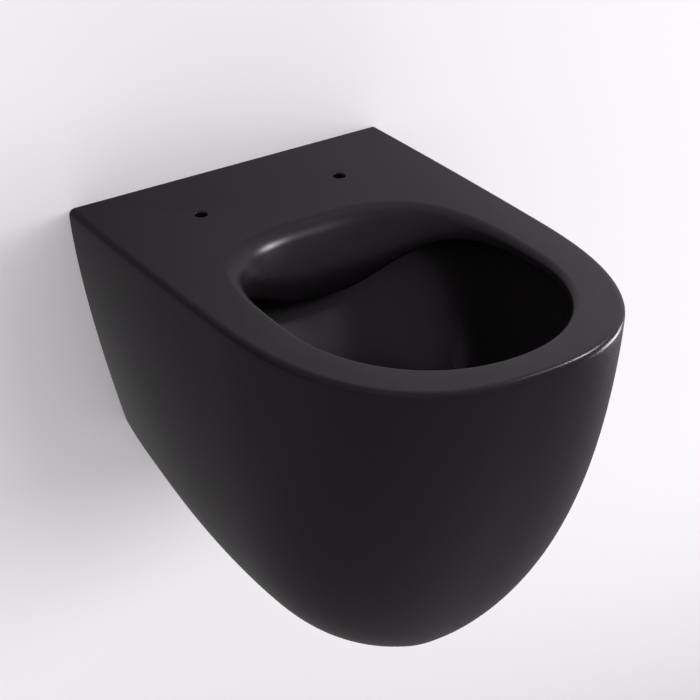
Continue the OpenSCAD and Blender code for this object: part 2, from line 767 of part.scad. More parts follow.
module bearing_pad_left() {
    mirror([1, 0, 0]) bearing_pad_right();
}

// A glass filled plastic wedge between the flange and the rib, pulled up by the clamp screw
module clamp_wedge_right() {
    back = rib_reach + rib_thickness;
    front = back + wedge_top - clearance;
    color("#4a4d52") difference() {
        translate([stud_x - wedge_width / 2, 0, 0]) rotate([90, 0, 90]) linear_extrude(wedge_width) polygon([
            [-back, wedge_z], [-front, wedge_z], [-front - wedge_height * tan(wedge_slope), wedge_z - wedge_height],
            [-back, wedge_z - wedge_height]
        ]);
        translate([stud_x, -screw_reach, wedge_z - wedge_height - overrun])
            cylinder(d = screw_diameter + screw_play, h = wedge_height + 2 * overrun);
    }
}

module clamp_wedge_left() {
    mirror([1, 0, 0]) clamp_wedge_right();
}

// Socket head screws that point up through the wedges into the arms
module clamp_screws() {
    head_z = wedge_z - wedge_height;
    color("#b9bcc0") both_sides() translate([stud_x, -screw_reach, 0]) {
        translate([0, 0, head_z]) cylinder(d = screw_diameter, h = arm_height + screw_diameter / 2 - head_z);
        translate([0, 0, head_z - screw_diameter]) difference() {
            cylinder(d = screw_head_diameter, h = screw_diameter);
            translate([0, 0, -overrun]) cylinder(d = screw_key, h = screw_diameter / 2 + overrun, $fn = 6);
        }
    }
}

// A soft plastic plug that closes an access hole under the pan
module access_cap_right() {
    color("#2c2a2c") at_access_hole() {
        translate([0, 0, -cap_thickness]) cylinder(d1 = access_diameter + 2 * cap_thickness,
            d2 = access_diameter + 4 * cap_thickness, h = cap_thickness);
        difference() {
            translate([0, 0, -cap_thickness / 2])
                cylinder(d = access_diameter - 2 * clearance, h = shell_wall + cap_thickness / 2);
            cylinder(d = access_diameter - 2 * clearance - 2 * cap_thickness, h = shell_wall + overrun);
        }
    }
}

module access_cap_left() {
    mirror([1, 0, 0]) access_cap_right();
}

pan();
flow_restrictor();
inlet_seal();
flush_pipe();
outlet_seal();
outlet_connector();
wall_studs();
stud_washers();
stud_nuts();
bracket_left();
bracket_right();
bearing_pad_left();
bearing_pad_right();
clamp_wedge_left();
clamp_wedge_right();
clamp_screws();
access_cap_left();
access_cap_right();
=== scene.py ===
"""A wall hung pan of black glazed china, with the parts that hang it and connect it."""

import math
from functools import partial

import bmesh
import bpy
import numpy as np
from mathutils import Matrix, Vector


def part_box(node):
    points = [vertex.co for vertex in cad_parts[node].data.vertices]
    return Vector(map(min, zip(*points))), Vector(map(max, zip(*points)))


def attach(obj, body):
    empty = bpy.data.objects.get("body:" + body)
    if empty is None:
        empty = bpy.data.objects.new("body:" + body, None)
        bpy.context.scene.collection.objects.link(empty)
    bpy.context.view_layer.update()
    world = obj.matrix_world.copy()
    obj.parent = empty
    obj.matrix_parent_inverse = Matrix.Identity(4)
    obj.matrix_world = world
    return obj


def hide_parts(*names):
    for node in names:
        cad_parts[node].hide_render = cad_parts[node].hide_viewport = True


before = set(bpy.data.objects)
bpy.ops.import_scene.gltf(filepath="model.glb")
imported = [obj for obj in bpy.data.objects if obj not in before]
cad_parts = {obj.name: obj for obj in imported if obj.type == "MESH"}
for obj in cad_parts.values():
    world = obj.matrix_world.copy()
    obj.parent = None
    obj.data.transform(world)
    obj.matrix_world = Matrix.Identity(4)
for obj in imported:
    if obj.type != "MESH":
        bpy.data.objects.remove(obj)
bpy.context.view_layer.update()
MM = 0.001


# The camera.
# It stands to the left of the pan's front and looks down on it, with a long lens.
camera_place = (-1187.06, -1977.56, 1137.35)
camera_turn = math.radians(33.92)
camera_tilt = math.radians(28.60)
sensor_width = 36.0
photo_side = 700
focal_pixels = 2600.0


def new_object(name, data):
    """A new object in the scene."""
    made = bpy.data.objects.new(name, data)
    bpy.context.scene.collection.objects.link(made)
    return made


camera_data = bpy.data.cameras.new("camera")
camera_data.sensor_width = sensor_width
camera_data.lens = focal_pixels / photo_side * sensor_width
camera = new_object("camera", camera_data)
camera.location = Vector(camera_place) * MM
camera.rotation_euler = (math.pi / 2 - camera_tilt, 0, -camera_turn)
bpy.context.scene.camera = camera
bpy.context.scene.view_settings.view_transform = "Standard"


# The two wall studs.
# Threaded rod of steel, zinc plated and left bright, cut to length and chamfered at both ends.
# They stand in the wall and carry the whole pan.
stud_low, stud_high = (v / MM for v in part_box("wall_studs"))
stud_diameter = stud_high.z - stud_low.z
stud_x = stud_high.x - stud_diameter / 2
stud_pitch = 1.75
thread_sides = 28
rings_a_turn = 7
thread_depth, thread_chamfer, thread_steepness = 0.61, 0.75, 1.3
noise_middle = (0.3, 0.7)


def add_node(tree, kind, inputs=None, **settings):
    """Adds one node, with its own settings, and its inputs' values or the sockets that feed them."""
    made = tree.nodes.new(kind)
    for name, value in settings.items():
        setattr(made, name, value)
    for key, value in (inputs or {}).items():
        if isinstance(value, bpy.types.NodeSocket):
            tree.links.new(value, made.inputs[key])
        else:
            made.inputs[key].default_value = value
    return made


def linear(colour):
    """An sRGB hex colour as the linear values that a shader takes."""
    shares = [int(colour[i:i + 2], 16) / 255 for i in (1, 3, 5)]
    return [s / 12.92 if s <= 0.04045 else ((s + 0.055) / 1.055) ** 2.4 for s in shares] + [1.0]


def empty_material(name):
    """A material whose tree holds no nodes yet, and that tree."""
    material = bpy.data.materials.new(name)
    material.use_nodes = True
    material.node_tree.nodes.clear()
    return material, material.node_tree


def grain(tree, place, size, detail=2.0, stretch=(1, 1, 1)):
    """A noise with features of a size in millimetres, drawn out along an axis where stretch says so."""
    shares = [1 / s for s in stretch]
    scaled = add_node(tree, "ShaderNodeVectorMath", {0: place, 1: shares}, operation="MULTIPLY")
    values = {"Vector": scaled.outputs[0], "Scale": 1 / (size * MM), "Detail": detail}
    return add_node(tree, "ShaderNodeTexNoise", values).outputs["Fac"]


def ramp(tree, value, places, levels):
    """From one level to another as a value goes from one place to another, and steady beyond them."""
    (start, end), (low, high) = places, levels
    values = {"Value": value, "From Min": start, "From Max": end, "To Min": low, "To Max": high}
    return add_node(tree, "ShaderNodeMapRange", values).outputs["Result"]


def colour_between(tree, share, first, second):
    """A colour that goes from one to another with a share."""
    mix = add_node(tree, "ShaderNodeMix", data_type="RGBA")
    tree.links.new(share, mix.inputs["Factor"])
    mix.inputs[6].default_value = linear(first)
    mix.inputs[7].default_value = linear(second)
    return mix.outputs[2]


def surface(name, colour, roughness, reliefs, clouds=None, gloss=None, **sockets):
    """A material with its shader's plain values, which noises vary.

    Clouds name two colours, gloss two roughnesses and each relief its depth in millimetres. After them come
    the noise's own size in millimetres, its detail and its stretch.
    """
    material, tree = empty_material(name)
    plain = {"Base Color": linear(colour), "Roughness": roughness}
    shader = add_node(tree, "ShaderNodeBsdfPrincipled", plain)
    for socket, value in sockets.items():
        shader.inputs[socket.replace("_", " ").title().replace("Ior", "IOR")].default_value = value
    add_node(tree, "ShaderNodeOutputMaterial", {"Surface": shader.outputs["BSDF"]})
    place = add_node(tree, "ShaderNodeTexCoord").outputs["Object"]
    if clouds:
        first, second, *sizes = clouds
        cloudy = colour_between(tree, grain(tree, place, *sizes), first, second)
        tree.links.new(cloudy, shader.inputs["Base Color"])
    if gloss:
        low, high, *sizes = gloss
        uneven = ramp(tree, grain(tree, place, *sizes), noise_middle, (low, high))
        tree.links.new(uneven, shader.inputs["Roughness"])
    under = {}
    for depth, *sizes in reliefs:
        bumps = {"Height": grain(tree, place, *sizes), "Distance": depth * MM, **under}
        under = {"Normal": add_node(tree, "ShaderNodeBump", bumps).outputs["Normal"]}
    tree.links.new(under["Normal"], shader.inputs["Normal"])
    return material


def baked(piece):
    """Puts what the piece's modifiers make into its mesh, and removes them."""
    bpy.context.view_layer.update()
    shaped = piece.evaluated_get(bpy.context.evaluated_depsgraph_get())
    mesh = bpy.data.meshes.new_from_object(shaped)
    piece.modifiers.clear()
    piece.data = mesh
    return piece


def face_outwards(mesh, merged=None):
    """Turns the faces outwards. Points closer than a distance in metres become one first, if it is given."""
    work = bmesh.new()
    work.from_mesh(mesh)
    if merged:
        bmesh.ops.remove_doubles(work, verts=work.verts, dist=merged)
    bmesh.ops.recalc_face_normals(work, faces=work.faces)
    work.to_mesh(mesh)
    work.free()


def new_piece(name, points, faces):
    """A piece from points in millimetres, with its faces turned outwards."""
    mesh = bpy.data.meshes.new(name)
    mesh.from_pydata([Vector(p) * MM for p in points], [], faces)
    face_outwards(mesh)
    return new_object(name, mesh)


def node_group(name, sizes):
    """An empty geometry tree with named sizes in metres, whole counts and one material."""
    tree = bpy.data.node_groups.new(name, "GeometryNodeTree")
    for size, value in sizes.items():
        kind = "NodeSocketInt" if isinstance(value, int) else "NodeSocketFloat"
        tree.interface.new_socket(size, in_out="INPUT", socket_type=kind)
    tree.interface.new_socket("Material", in_out="INPUT", socket_type="NodeSocketMaterial")
    tree.interface.new_socket("Geometry", in_out="OUTPUT", socket_type="NodeSocketGeometry")
    return tree, add_node(tree, "NodeGroupInput").outputs


def grown(name, tree, geometry, sizes, material):
    """Ends a geometry tree, runs it with these sizes and gives the plain mesh as a piece."""
    inputs = next(n for n in tree.nodes if n.bl_idname == "NodeGroupInput").outputs
    real = add_node(tree, "GeometryNodeRealizeInstances", {"Geometry": geometry})
    painted = add_node(
        tree, "GeometryNodeSetMaterial", {"Geometry": real.outputs[0], "Material": inputs["Material"]})
    add_node(tree, "NodeGroupOutput", {"Geometry": painted.outputs[0]})
    piece = new_object(name, bpy.data.meshes.new(name))
    change = piece.modifiers.new("grown", "NODES")
    change.node_group = tree
    values = dict(sizes, Material=material)
    for item in tree.interface.items_tree:
        if item.in_out == "INPUT":
            change[item.identifier] = values[item.name]
    return baked(piece)


def calculate(tree, operation, first, second=0.0, third=0.0):
    """One step of arithmetic on numbers or on sockets."""
    return add_node(tree, "ShaderNodeMath", {0: first, 1: second, 2: third}, operation=operation).outputs[0]


def threaded_rod(tree, sizes):
    """A rod along Z with a thread cut into it, centred on the origin."""
    radius, length = sizes["Radius"], sizes["Length"]
    step = partial(calculate, tree)
    rod = add_node(tree, "GeometryNodeMeshCylinder", {
        "Vertices": sizes["Sides"], "Side Segments": sizes["Rings"], "Radius": radius, "Depth": length})
    place = add_node(tree, "GeometryNodeInputPosition").outputs[0]
    x, y, z = add_node(tree, "ShaderNodeSeparateXYZ", {0: place}).outputs
    turn = step("DIVIDE", step("ARCTAN2", y, x), 2 * math.pi)
    phase = step("FRACT", step("ADD", step("DIVIDE", z, sizes["Pitch"]), turn))
    slope = step("ABSOLUTE", step("MULTIPLY_ADD", phase, 2.0, -1.0))
    root = step("MINIMUM", step("MULTIPLY", step("SUBTRACT", 1.0, slope), thread_steepness), 1.0)
    threaded = step("SUBTRACT", radius, step("MULTIPLY", root, sizes["Groove"]))
    to_end = step("SUBTRACT", step("MULTIPLY", length, 0.5), step("ABSOLUTE", z))
    chamfered = step("ADD", step("SUBTRACT", radius, sizes["Chamfer"]), to_end)
    share = step("DIVIDE", step("MINIMUM", threaded, chamfered), radius)
    moved = add_node(tree, "ShaderNodeCombineXYZ", {
        0: step("MULTIPLY", x, share), 1: step("MULTIPLY", y, share), 2: z})
    places = {"Geometry": rod.outputs["Mesh"], "Position": moved.outputs[0]}
    return add_node(tree, "GeometryNodeSetPosition", places).outputs[0]


def threaded_pair(name, radius, length, pitch, centre, turned, material):
    """Two threaded rods, one on each side, centred at a place in millimetres."""
    sizes = {
        "Radius": radius * MM, "Length": length * MM, "Pitch": pitch * MM,
        "Groove": pitch * thread_depth * MM, "Chamfer": pitch * thread_chamfer * MM,
        "Sides": thread_sides, "Rings": int(length / pitch * rings_a_turn),
    }
    tree, inputs = node_group(name, sizes)
    rod = threaded_rod(tree, inputs)
    x, y, z = (c * MM for c in centre)
    two = add_node(tree, "GeometryNodeMeshLine", {
        "Count": 2, "Start Location": (-x, y, z), "Offset": (2 * x, 0, 0)})
    set_out = add_node(tree, "GeometryNodeInstanceOnPoints", {
        "Points": two.outputs[0], "Instance": rod, "Rotation": turned})
    return grown(name, tree, set_out.outputs[0], sizes, material)


def finished(piece, nodes, material=None, crease=32):
    """Gives a piece its material, if one is given, smooths it between its edges, hangs it on the root and
    hides the parts it replaces.
    """
    if material is not None:
        piece.data.materials.clear()
        piece.data.materials.append(material)
    piece.data.shade_smooth()
    piece.data.set_sharp_from_angle(angle=math.radians(crease))
    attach(piece, "root")
    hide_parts(*nodes)


# Bright zinc over rolled or turned steel: a cool grey, clouded by the bath and slightly uneven in gloss.
zinc = surface(
    "zinc_plated_steel", "#b9bdc2", 0.34, clouds=("#a9adb0", "#c8ccd1", 6.0), gloss=(0.26, 0.42, 1.5),
    reliefs=[(0.02, 0.6)], metallic=1.0)
studs = threaded_pair(
    "wall_studs_threaded", stud_diameter / 2, stud_high.y - stud_low.y, stud_pitch,
    (stud_x, (stud_low.y + stud_high.y) / 2, 0), (math.pi / 2, 0, 0), zinc)
finished(studs, ["wall_studs"])


# The wall brackets.
# Each is steel plate, cut, bent and welded, then zinc plated: a back plate on the stud,
# an arm that carries the pan, a sloping front flange, and a gusset under a weld.
bracket_low, bracket_high = (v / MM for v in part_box("bracket_right"))
bracket_steel = 4.0
arm_width = 30.0
arm_height = 18.0
flange_slope = math.radians(15)
bend_radius = 6.0
plate_corner = 6.0
stud_play = 0.3
screw_diameter = 8.0
screw_reach = 61.0
weld_bead = 2.2
weld_step = 0.55
gusset_reach = 28.0
flange_foot = -16.0
plate_edge = 0.5
cutter_reach = 20.0
rounding_steps = 2


def arc(middle, radius, start, end, steps=6):
    """Points of an arc in a plane, with its angles in degrees."""
    angles = np.radians(np.linspace(start, end, steps + 1))
    return [(middle[0] + radius * math.cos(a), middle[1] + radius * math.sin(a)) for a in angles]


def prism(name, outline, axis, start, end):
    """A closed outline drawn out along an axis. Its plane holds the other two axes, in X, Y, Z order."""
    count = len(outline)
    points = []
    for along in (start, end):
        for spot in outline:
            points.append([*spot[:axis], along, *spot[axis:]])
    sides = [(i, (i + 1) % count, count + (i + 1) % count, count + i) for i in range(count)]
    ends = [tuple(range(count)), tuple(range(2 * count - 1, count - 1, -1))]
    return new_piece(name, points, ends + sides)


def rounded_rectangle(low, high, radius):
    """The outline of a rectangle with round corners."""
    left, right = low[0] + radius, high[0] - radius
    bottom, top = low[1] + radius, high[1] - radius
    corners = [(right, top), (left, top), (left, bottom), (right, bottom)]
    return [spot for i, middle in enumerate(corners) for spot in arc(middle, radius, 90 * i, 90 * i + 90, 5)]


def band_faces(bands, count, rings):
    """The faces between rings of equally many points, from each ring to the next."""
    faces = []
    for k in range(bands):
        first, second = k * count, (k + 1) % rings * count
        for i in range(count):
            j = (i + 1) % count
            faces.append((first + i, first + j, second + j, second + i))
    return faces


def lathe(name, profile, place, axis, sides=96, loop=True):
    """A profile of (radius, distance along an axis), turned round. If it's no loop, it ends on the axis."""
    cross = [(1, 2), (0, 2), (0, 1)][axis]
    points = []
    for radius, along in profile:
        for i in range(sides):
            turn = 2 * math.pi * i / sides
            spot = list(place)
            spot[cross[0]] += radius * math.cos(turn)
            spot[cross[1]] += radius * math.sin(turn)
            spot[axis] += along
            points.append(spot)
    count = len(profile)
    piece = new_piece(name, points, band_faces(count if loop else count - 1, sides, count))
    if not loop:
        face_outwards(piece.data, merged=0.001 * MM)
    return piece


def bar(name, radius, start, end, place, axis, sides=48):
    """A round bar along an axis, between two distances from a place."""
    profile = [(0, start), (radius, start), (radius, end), (0, end)]
    return lathe(name, profile, place, axis, sides, loop=False)


def combined(piece, other, operation):
    """Joins another closed piece (UNION), cuts it out (DIFFERENCE) or keeps what both hold (INTERSECT)."""
    change = piece.modifiers.new("combined", "BOOLEAN")
    change.operation = operation
    change.solver = "MANIFOLD"
    change.object = other
    baked(piece)
    bpy.data.objects.remove(other)
    return piece


def cut(piece, *others):
    """Cuts other closed pieces out of the first."""
    for other in others:
        combined(piece, other, "DIFFERENCE")
    return piece


def joined(piece, *others):
    """Joins other closed pieces to the first."""
    for other in others:
        combined(piece, other, "UNION")
    return piece


def edged(piece, width, angle=40):
    """Rounds the piece's edges."""
    change = piece.modifiers.new("edged", "BEVEL")
    change.width = width * MM
    change.segments = rounding_steps
    change.angle_limit = math.radians(angle)
    change.use_clamp_overlap = True
    return baked(piece)


def mirrored(piece, name):
    """The same piece on the other side."""
    mesh = piece.data.copy()
    mesh.transform(((-1, 0, 0, 0), (0, 1, 0, 0), (0, 0, 1, 0), (0, 0, 0, 1)))
    mesh.flip_normals()
    return new_object(name, mesh)


def weld_seam(name, start, end, bead, material):
    """A weld seam between two places in millimetres: a row of flat drops, each laid over most of the last."""
    drops = int((Vector(end) - Vector(start)).length / (bead * weld_step)) + 1
    sizes = {"Bead": bead * MM, "Drops": drops}
    tree, inputs = node_group(name, sizes)
    line = add_node(tree, "GeometryNodeCurvePrimitiveLine", {
        "Start": [c * MM for c in start], "End": [c * MM for c in end]})
    row = add_node(tree, "GeometryNodeResampleCurve", {"Curve": line.outputs[0], "Count": inputs["Drops"]})
    drop = add_node(tree, "GeometryNodeMeshIcoSphere", {"Radius": inputs["Bead"], "Subdivisions": 3})
    limits = {"Min": (0.85, 0.8, 0.85), "Max": (1.1, 1.0, 1.1), "Seed": 4}
    uneven = add_node(tree, "FunctionNodeRandomValue", limits, data_type="FLOAT_VECTOR")
    laid = add_node(tree, "GeometryNodeInstanceOnPoints", {
        "Points": row.outputs[0], "Instance": drop.outputs["Mesh"], "Scale": uneven.outputs[0]})
    return grown(name, tree, laid.outputs[0], sizes, material)


# Zinc plated plate: greyer than the fasteners, with the faint lines of rolling under the zinc.
rolled = (0.8, 2.0, (1, 25, 1))
plate_steel = surface(
    "zinc_plated_plate", "#9ea3a8", 0.4, clouds=("#8f9499", "#aeb3b8", 14.0), gloss=(0.3, 0.5, *rolled),
    reliefs=[(0.03, *rolled)], metallic=1.0)


def wall_bracket(name):
    """The right hand bracket as one welded piece."""
    left, right = stud_x - arm_width / 2, stud_x + arm_width / 2
    face = rounded_rectangle((bracket_low.x, bracket_low.z), (bracket_high.x, bracket_high.z), plate_corner)
    plate = edged(prism(name, face, 1, -bracket_steel, 0), plate_edge)
    slope = math.tan(flange_slope)
    flange = bracket_steel / math.cos(flange_slope)
    foot_y = bracket_low.y
    top_y = foot_y + (arm_height - flange_foot) * slope
    turn = 90 - math.degrees(flange_slope)
    outer = (top_y + bend_radius * math.tan(math.radians(turn / 2)), arm_height - bend_radius)
    inner = bend_radius - bracket_steel
    strip = [(-bracket_steel / 2, arm_height - bracket_steel), (-bracket_steel / 2, arm_height)]
    strip += arc(outer, bend_radius, 90, 90 + turn)
    strip += [(foot_y, flange_foot), (foot_y + flange, flange_foot)]
    strip += arc(outer, inner, 90 + turn, 90)
    arm = edged(prism("arm", strip, 0, left, right), plate_edge)
    gusset_top, gusset_foot = bracket_high.z - bracket_steel, arm_height - bracket_steel / 2
    gusset = prism("gusset", [
        (-bracket_steel / 2, gusset_foot), (-bracket_steel / 2, gusset_top),
        (-bracket_steel * 1.5, gusset_top), (-gusset_reach, arm_height + 1), (-gusset_reach, gusset_foot),
    ], 0, stud_x - bracket_steel / 2, stud_x + bracket_steel / 2)
    edged(gusset, plate_edge * 0.8)
    joined(plate, arm, gusset)
    for side in (-1, 1):
        x = stud_x + side * bracket_steel / 2
        start, end = (x, -bracket_steel, arm_height + 1), (x, -bracket_steel, gusset_top - 2)
        joined(plate, weld_seam("weld", start, end, weld_bead, plate_steel))
    for radius, place, axis in [
        (stud_diameter / 2 + stud_play, (stud_x, 0, 0), 1),
        (screw_diameter / 2, (stud_x, -screw_reach, arm_height), 2),
    ]:
        cut(plate, bar("hole", radius, -cutter_reach, cutter_reach, place, axis))
    return plate


bracket_right = wall_bracket("bracket_right_welded")
bracket_left = mirrored(bracket_right, "bracket_left_welded")
finished(bracket_right, ["bracket_right"], plate_steel)
finished(bracket_left, ["bracket_left"], plate_steel)


# Washers and nuts on the studs.
# Both are zinc plated steel: the washers stamped from sheet, with one soft and one sharp edge,
# the nuts forged, with chamfered corners on both faces and in the thread's mouth.
washer_low, washer_high = (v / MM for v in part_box("stud_washers"))
nut_low, nut_high = (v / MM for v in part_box("stud_nuts"))
washer_radius = (washer_high.z - washer_low.z) / 2
nut_corners = max(nut_high.z - nut_low.z, (nut_high.x - stud_x) * 2)
cone_depth, cone_face, cone_clear = 1.6, 0.96, 1.01
nut_mouth = 0.8


def washer(name, x):
    """One washer, its stamped edge rounded on the side away from the wall."""
    front, back, soft = washer_low.y, washer_high.y, 0.6
    bore = stud_diameter / 2 + stud_play
    return lathe(name, [
        (bore, back), (washer_radius - 0.1, back), (washer_radius, back - 0.1), (washer_radius, front + soft),
        (washer_radius - soft * 0.3, front + soft * 0.3), (washer_radius - soft, front), (bore + 0.2, front),
        (bore, front + 0.2),
    ], (x, 0, 0), 1)


def hexagon(x, y, corner):
    """The six corners of a hexagon round a middle, in a plane."""
    return arc((x, y), corner, 0, 300, 5)


def hexagon_nut(name, x):
    """One nut: a hexagon whose corners are turned off to a cone on both faces."""
    front, back = nut_low.y, nut_high.y
    corner, flat = nut_corners / 2, nut_corners / 2 * math.cos(math.pi / 6)
    turned_off = (corner - flat) * math.tan(math.radians(30)) * cone_depth
    nut = prism(name, hexagon(x, 0, corner), 1, front, back)
    face, clear = flat * cone_face, corner * cone_clear
    cone = lathe("cone", [
        (0, front), (face, front), (clear, front + turned_off), (clear, back - turned_off),
        (face, back), (0, back),
    ], (x, 0, 0), 1, loop=False)
    combined(nut, cone, "INTERSECT")
    bore = stud_diameter / 2 + stud_play / 4
    mouth = bore + nut_mouth + 1
    return cut(nut, lathe("bore", [
        (0, front - 1), (mouth, front - 1), (bore, front + nut_mouth), (bore, back - nut_mouth),
        (mouth, back + 1), (0, back + 1),
    ], (x, 0, 0), 1, loop=False))


washers = joined(washer("stud_washers_stamped", stud_x), washer("washer", -stud_x))
nuts = joined(hexagon_nut("stud_nuts_chamfered", stud_x), hexagon_nut("nut", -stud_x))
finished(washers, ["stud_washers"], zinc)
finished(nuts, ["stud_nuts"], zinc, crease=20)


# Bearing pads.
# A saddle of moulded rubber sits on each arm, and the pan's rib stands in it,
# so that china never bears on steel.
pad_low, pad_high = (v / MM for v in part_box("bearing_pad_right"))
rib_back, rib_front = 36.0, 48.0
pad_floor = 3.0
groove_radius, groove_pitch = 0.8, 5.0


# Carbon black rubber from a sandblasted mould: deep grey, dull, with a fine grain and a little dust bloom.
rubber = surface(
    "moulded_rubber", "#1c1c1e", 0.72, clouds=("#19191b", "#232325", 9.0), gloss=(0.62, 0.8, 9.0),
    reliefs=[(0.05, 0.5)])


def bearing_pad(name):
    """The right hand pad, with grooves across its foot that let it grip the arm."""
    floor = pad_low.z + pad_floor
    pad = prism(name, [
        (pad_low.y, pad_low.z), (pad_high.y, pad_low.z), (pad_high.y, pad_high.z), (-rib_back, pad_high.z),
        (-rib_back, floor), (-rib_front, floor), (-rib_front, pad_high.z), (pad_low.y, pad_high.z),
    ], 0, pad_low.x, pad_high.x)
    edged(pad, 0.5)
    width = pad_high.x - pad_low.x
    count = int(width / groove_pitch)
    for i in range(1, count):
        place = (pad_low.x + i * width / count, (pad_low.y + pad_high.y) / 2, pad_low.z)
        cut(pad, bar("groove", groove_radius, -cutter_reach, cutter_reach, place, 1, 12))
    return pad


pad_right = bearing_pad("bearing_pad_right_moulded")
pad_left = mirrored(pad_right, "bearing_pad_left_moulded")
finished(pad_right, ["bearing_pad_right"], rubber)
finished(pad_left, ["bearing_pad_left"], rubber)


# Clamp wedges.
# Glass filled polyamide, injection moulded, with pockets in both flanks that keep the walls even.
wedge_low, wedge_high = (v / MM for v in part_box("clamp_wedge_right"))
wedge_wall = 3.0
wedge_play = 1.0
wedge_pocket = 15.0


def clamp_wedge(name):
    """The right hand wedge, hollowed from both flanks, with a thin web in the middle of each pocket."""
    slope = math.tan(flange_slope)
    back, low, high = wedge_high.y, wedge_low.z, wedge_high.z
    foot = wedge_low.y
    head = foot + (high - low) * slope
    outline = [(back, high), (head, high), (foot, low), (back, low)]
    wedge = edged(prism(name, outline, 0, wedge_low.x, wedge_high.x), 0.6)
    inset = [
        (back - wedge_wall, high - wedge_wall), (head + wedge_wall + slope, high - wedge_wall),
        (foot + wedge_wall + 2 * slope, low + wedge_wall), (back - wedge_wall, low + wedge_wall),
    ]
    left, right = wedge_low.x, wedge_high.x
    for start, end in [(left - 1, left + wedge_pocket), (right - wedge_pocket, right + 1)]:
        cut(wedge, edged(prism("pocket", inset, 0, start, end), 1.2, angle=60))
    for side in (-1, 1):
        middle = stud_x + side * (right - left - wedge_pocket) / 2
        web = [(middle - 1, back - 1), (middle + 1, back - 1), (middle + 1, foot + 9), (middle - 1, foot + 9)]
        joined(wedge, prism("web", web, 2, low + wedge_wall / 2, high - wedge_wall / 2))
    bore = screw_diameter / 2 + wedge_play
    return cut(wedge, bar("bore", bore, low - 2, high + 2, (stud_x, -screw_reach, 0), 2))


# Polyamide with glass fibre: a dull grey, mottled by the fibres where the melt ran.
flow = (2.5, 2.0, (1, 1, 4))
polyamide = surface(
    "glass_filled_polyamide", "#4a4d52", 0.5, clouds=("#43464b", "#55585d", *flow), gloss=(0.42, 0.6, 1.0),
    reliefs=[(0.05, *flow)])
wedge_right = clamp_wedge("clamp_wedge_right_moulded")
wedge_left = mirrored(wedge_right, "clamp_wedge_left_moulded")
finished(wedge_right, ["clamp_wedge_right"], polyamide)
finished(wedge_left, ["clamp_wedge_left"], polyamide)


# Clamp screws.
# Socket head screws of zinc plated steel, turned from below with a hexagon key through the access holes.
screw_low, screw_high = (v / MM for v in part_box("clamp_screws"))
screw_pitch = 1.25
head_radius = screw_high.x - stud_x
head_height = screw_diameter
key_across = 6.0
knurls = 36


def screw_head(x):
    """One cylindrical head with a rounded upper edge, a knurled side and a hexagon socket in its foot."""
    foot, top = screw_low.z, screw_low.z + head_height
    ripple = 0.25
    head = lathe("head", [
        (0, foot), (head_radius - 1.2, foot), (head_radius - ripple, foot + 0.6),
        (head_radius - ripple, top - 0.8), (head_radius - 0.9, top), (0, top),
    ], (x, -screw_reach, 0), 2, sides=knurls * 4, loop=False)
    for point in head.data.vertices:
        away = Vector((point.co.x / MM - x, point.co.y / MM + screw_reach, 0))
        if away.length > head_radius - 0.5:
            turn = math.atan2(away.y, away.x)
            point.co += away.normalized() * ripple * MM * (0.5 + 0.5 * math.cos(knurls * turn))
    key = hexagon(x, -screw_reach, key_across / 2 / math.cos(math.pi / 6))
    return cut(head, prism("key", key, 2, foot - 1, foot + head_height / 2))


screws = threaded_pair(
    "clamp_screws_threaded", screw_diameter / 2, screw_high.z - screw_low.z - head_height / 2, screw_pitch,
    (stud_x, -screw_reach, (screw_high.z + screw_low.z + head_height / 2) / 2), (0, 0, 0), zinc)
joined(screws, screw_head(stud_x), screw_head(-stud_x))
finished(screws, ["clamp_screws"], zinc)


# The flush pipe, its seal and the flow restrictor.
# The pipe is extruded polyethylene, the seal a ribbed rubber sleeve in the pan's socket,
# and the restrictor a moulded ring with four webs, which tames the flush.
pipe_low, pipe_high = (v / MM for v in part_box("flush_pipe"))
seal_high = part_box("inlet_seal")[1] / MM
restrictor_low, restrictor_high = (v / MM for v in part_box("flow_restrictor"))
inlet_z = (pipe_low.z + pipe_high.z) / 2
pipe_radius = (pipe_high.z - pipe_low.z) / 2
pipe_wall = 2.5
socket_radius = 27.5
socket_mouth = 30.0
seal_rib, seal_groove, seal_groove_depth = 7.0, 4.0, 1.5


def dark_polyethylene(name, stretch):
    """Polyethylene pipe: slate grey and waxy, with the fine lines of its extrusion or mould."""
    lines = (0.7, 2.0, stretch)
    return surface(
        name, "#35383b", 0.42, clouds=("#323538", "#3c3f42", 20.0), gloss=(0.36, 0.5, *lines),
        reliefs=[(0.03, *lines)])


polyethylene = dark_polyethylene("polyethylene_pipe", (1, 30, 1))
# Uncoloured polypropylene: a milky white.
polypropylene = surface(
    "natural_polypropylene", "#dcdcd6", 0.38, clouds=("#d6d6cf", "#e0e0db", 8.0), reliefs=[(0.03, 0.8)])
on_inlet = (0, 0, inlet_z)


def flush_pipe():
    """The pipe, chamfered at both ends, with a ring turned into it that marks how far it goes in."""
    start, end, chamfer = pipe_low.y, pipe_high.y, pipe_wall / 2
    mark = 0.5
    pipe = lathe("flush_pipe_extruded", [
        (pipe_radius - pipe_wall, start), (pipe_radius - chamfer, start), (pipe_radius, start + chamfer),
        (pipe_radius, -mark - 0.6), (pipe_radius - mark, -mark), (pipe_radius - mark, 0), (pipe_radius, 0.6),
        (pipe_radius, end - chamfer), (pipe_radius - chamfer, end), (pipe_radius - pipe_wall, end),
    ], on_inlet, 1)
    return edged(pipe, 0.3, angle=30)


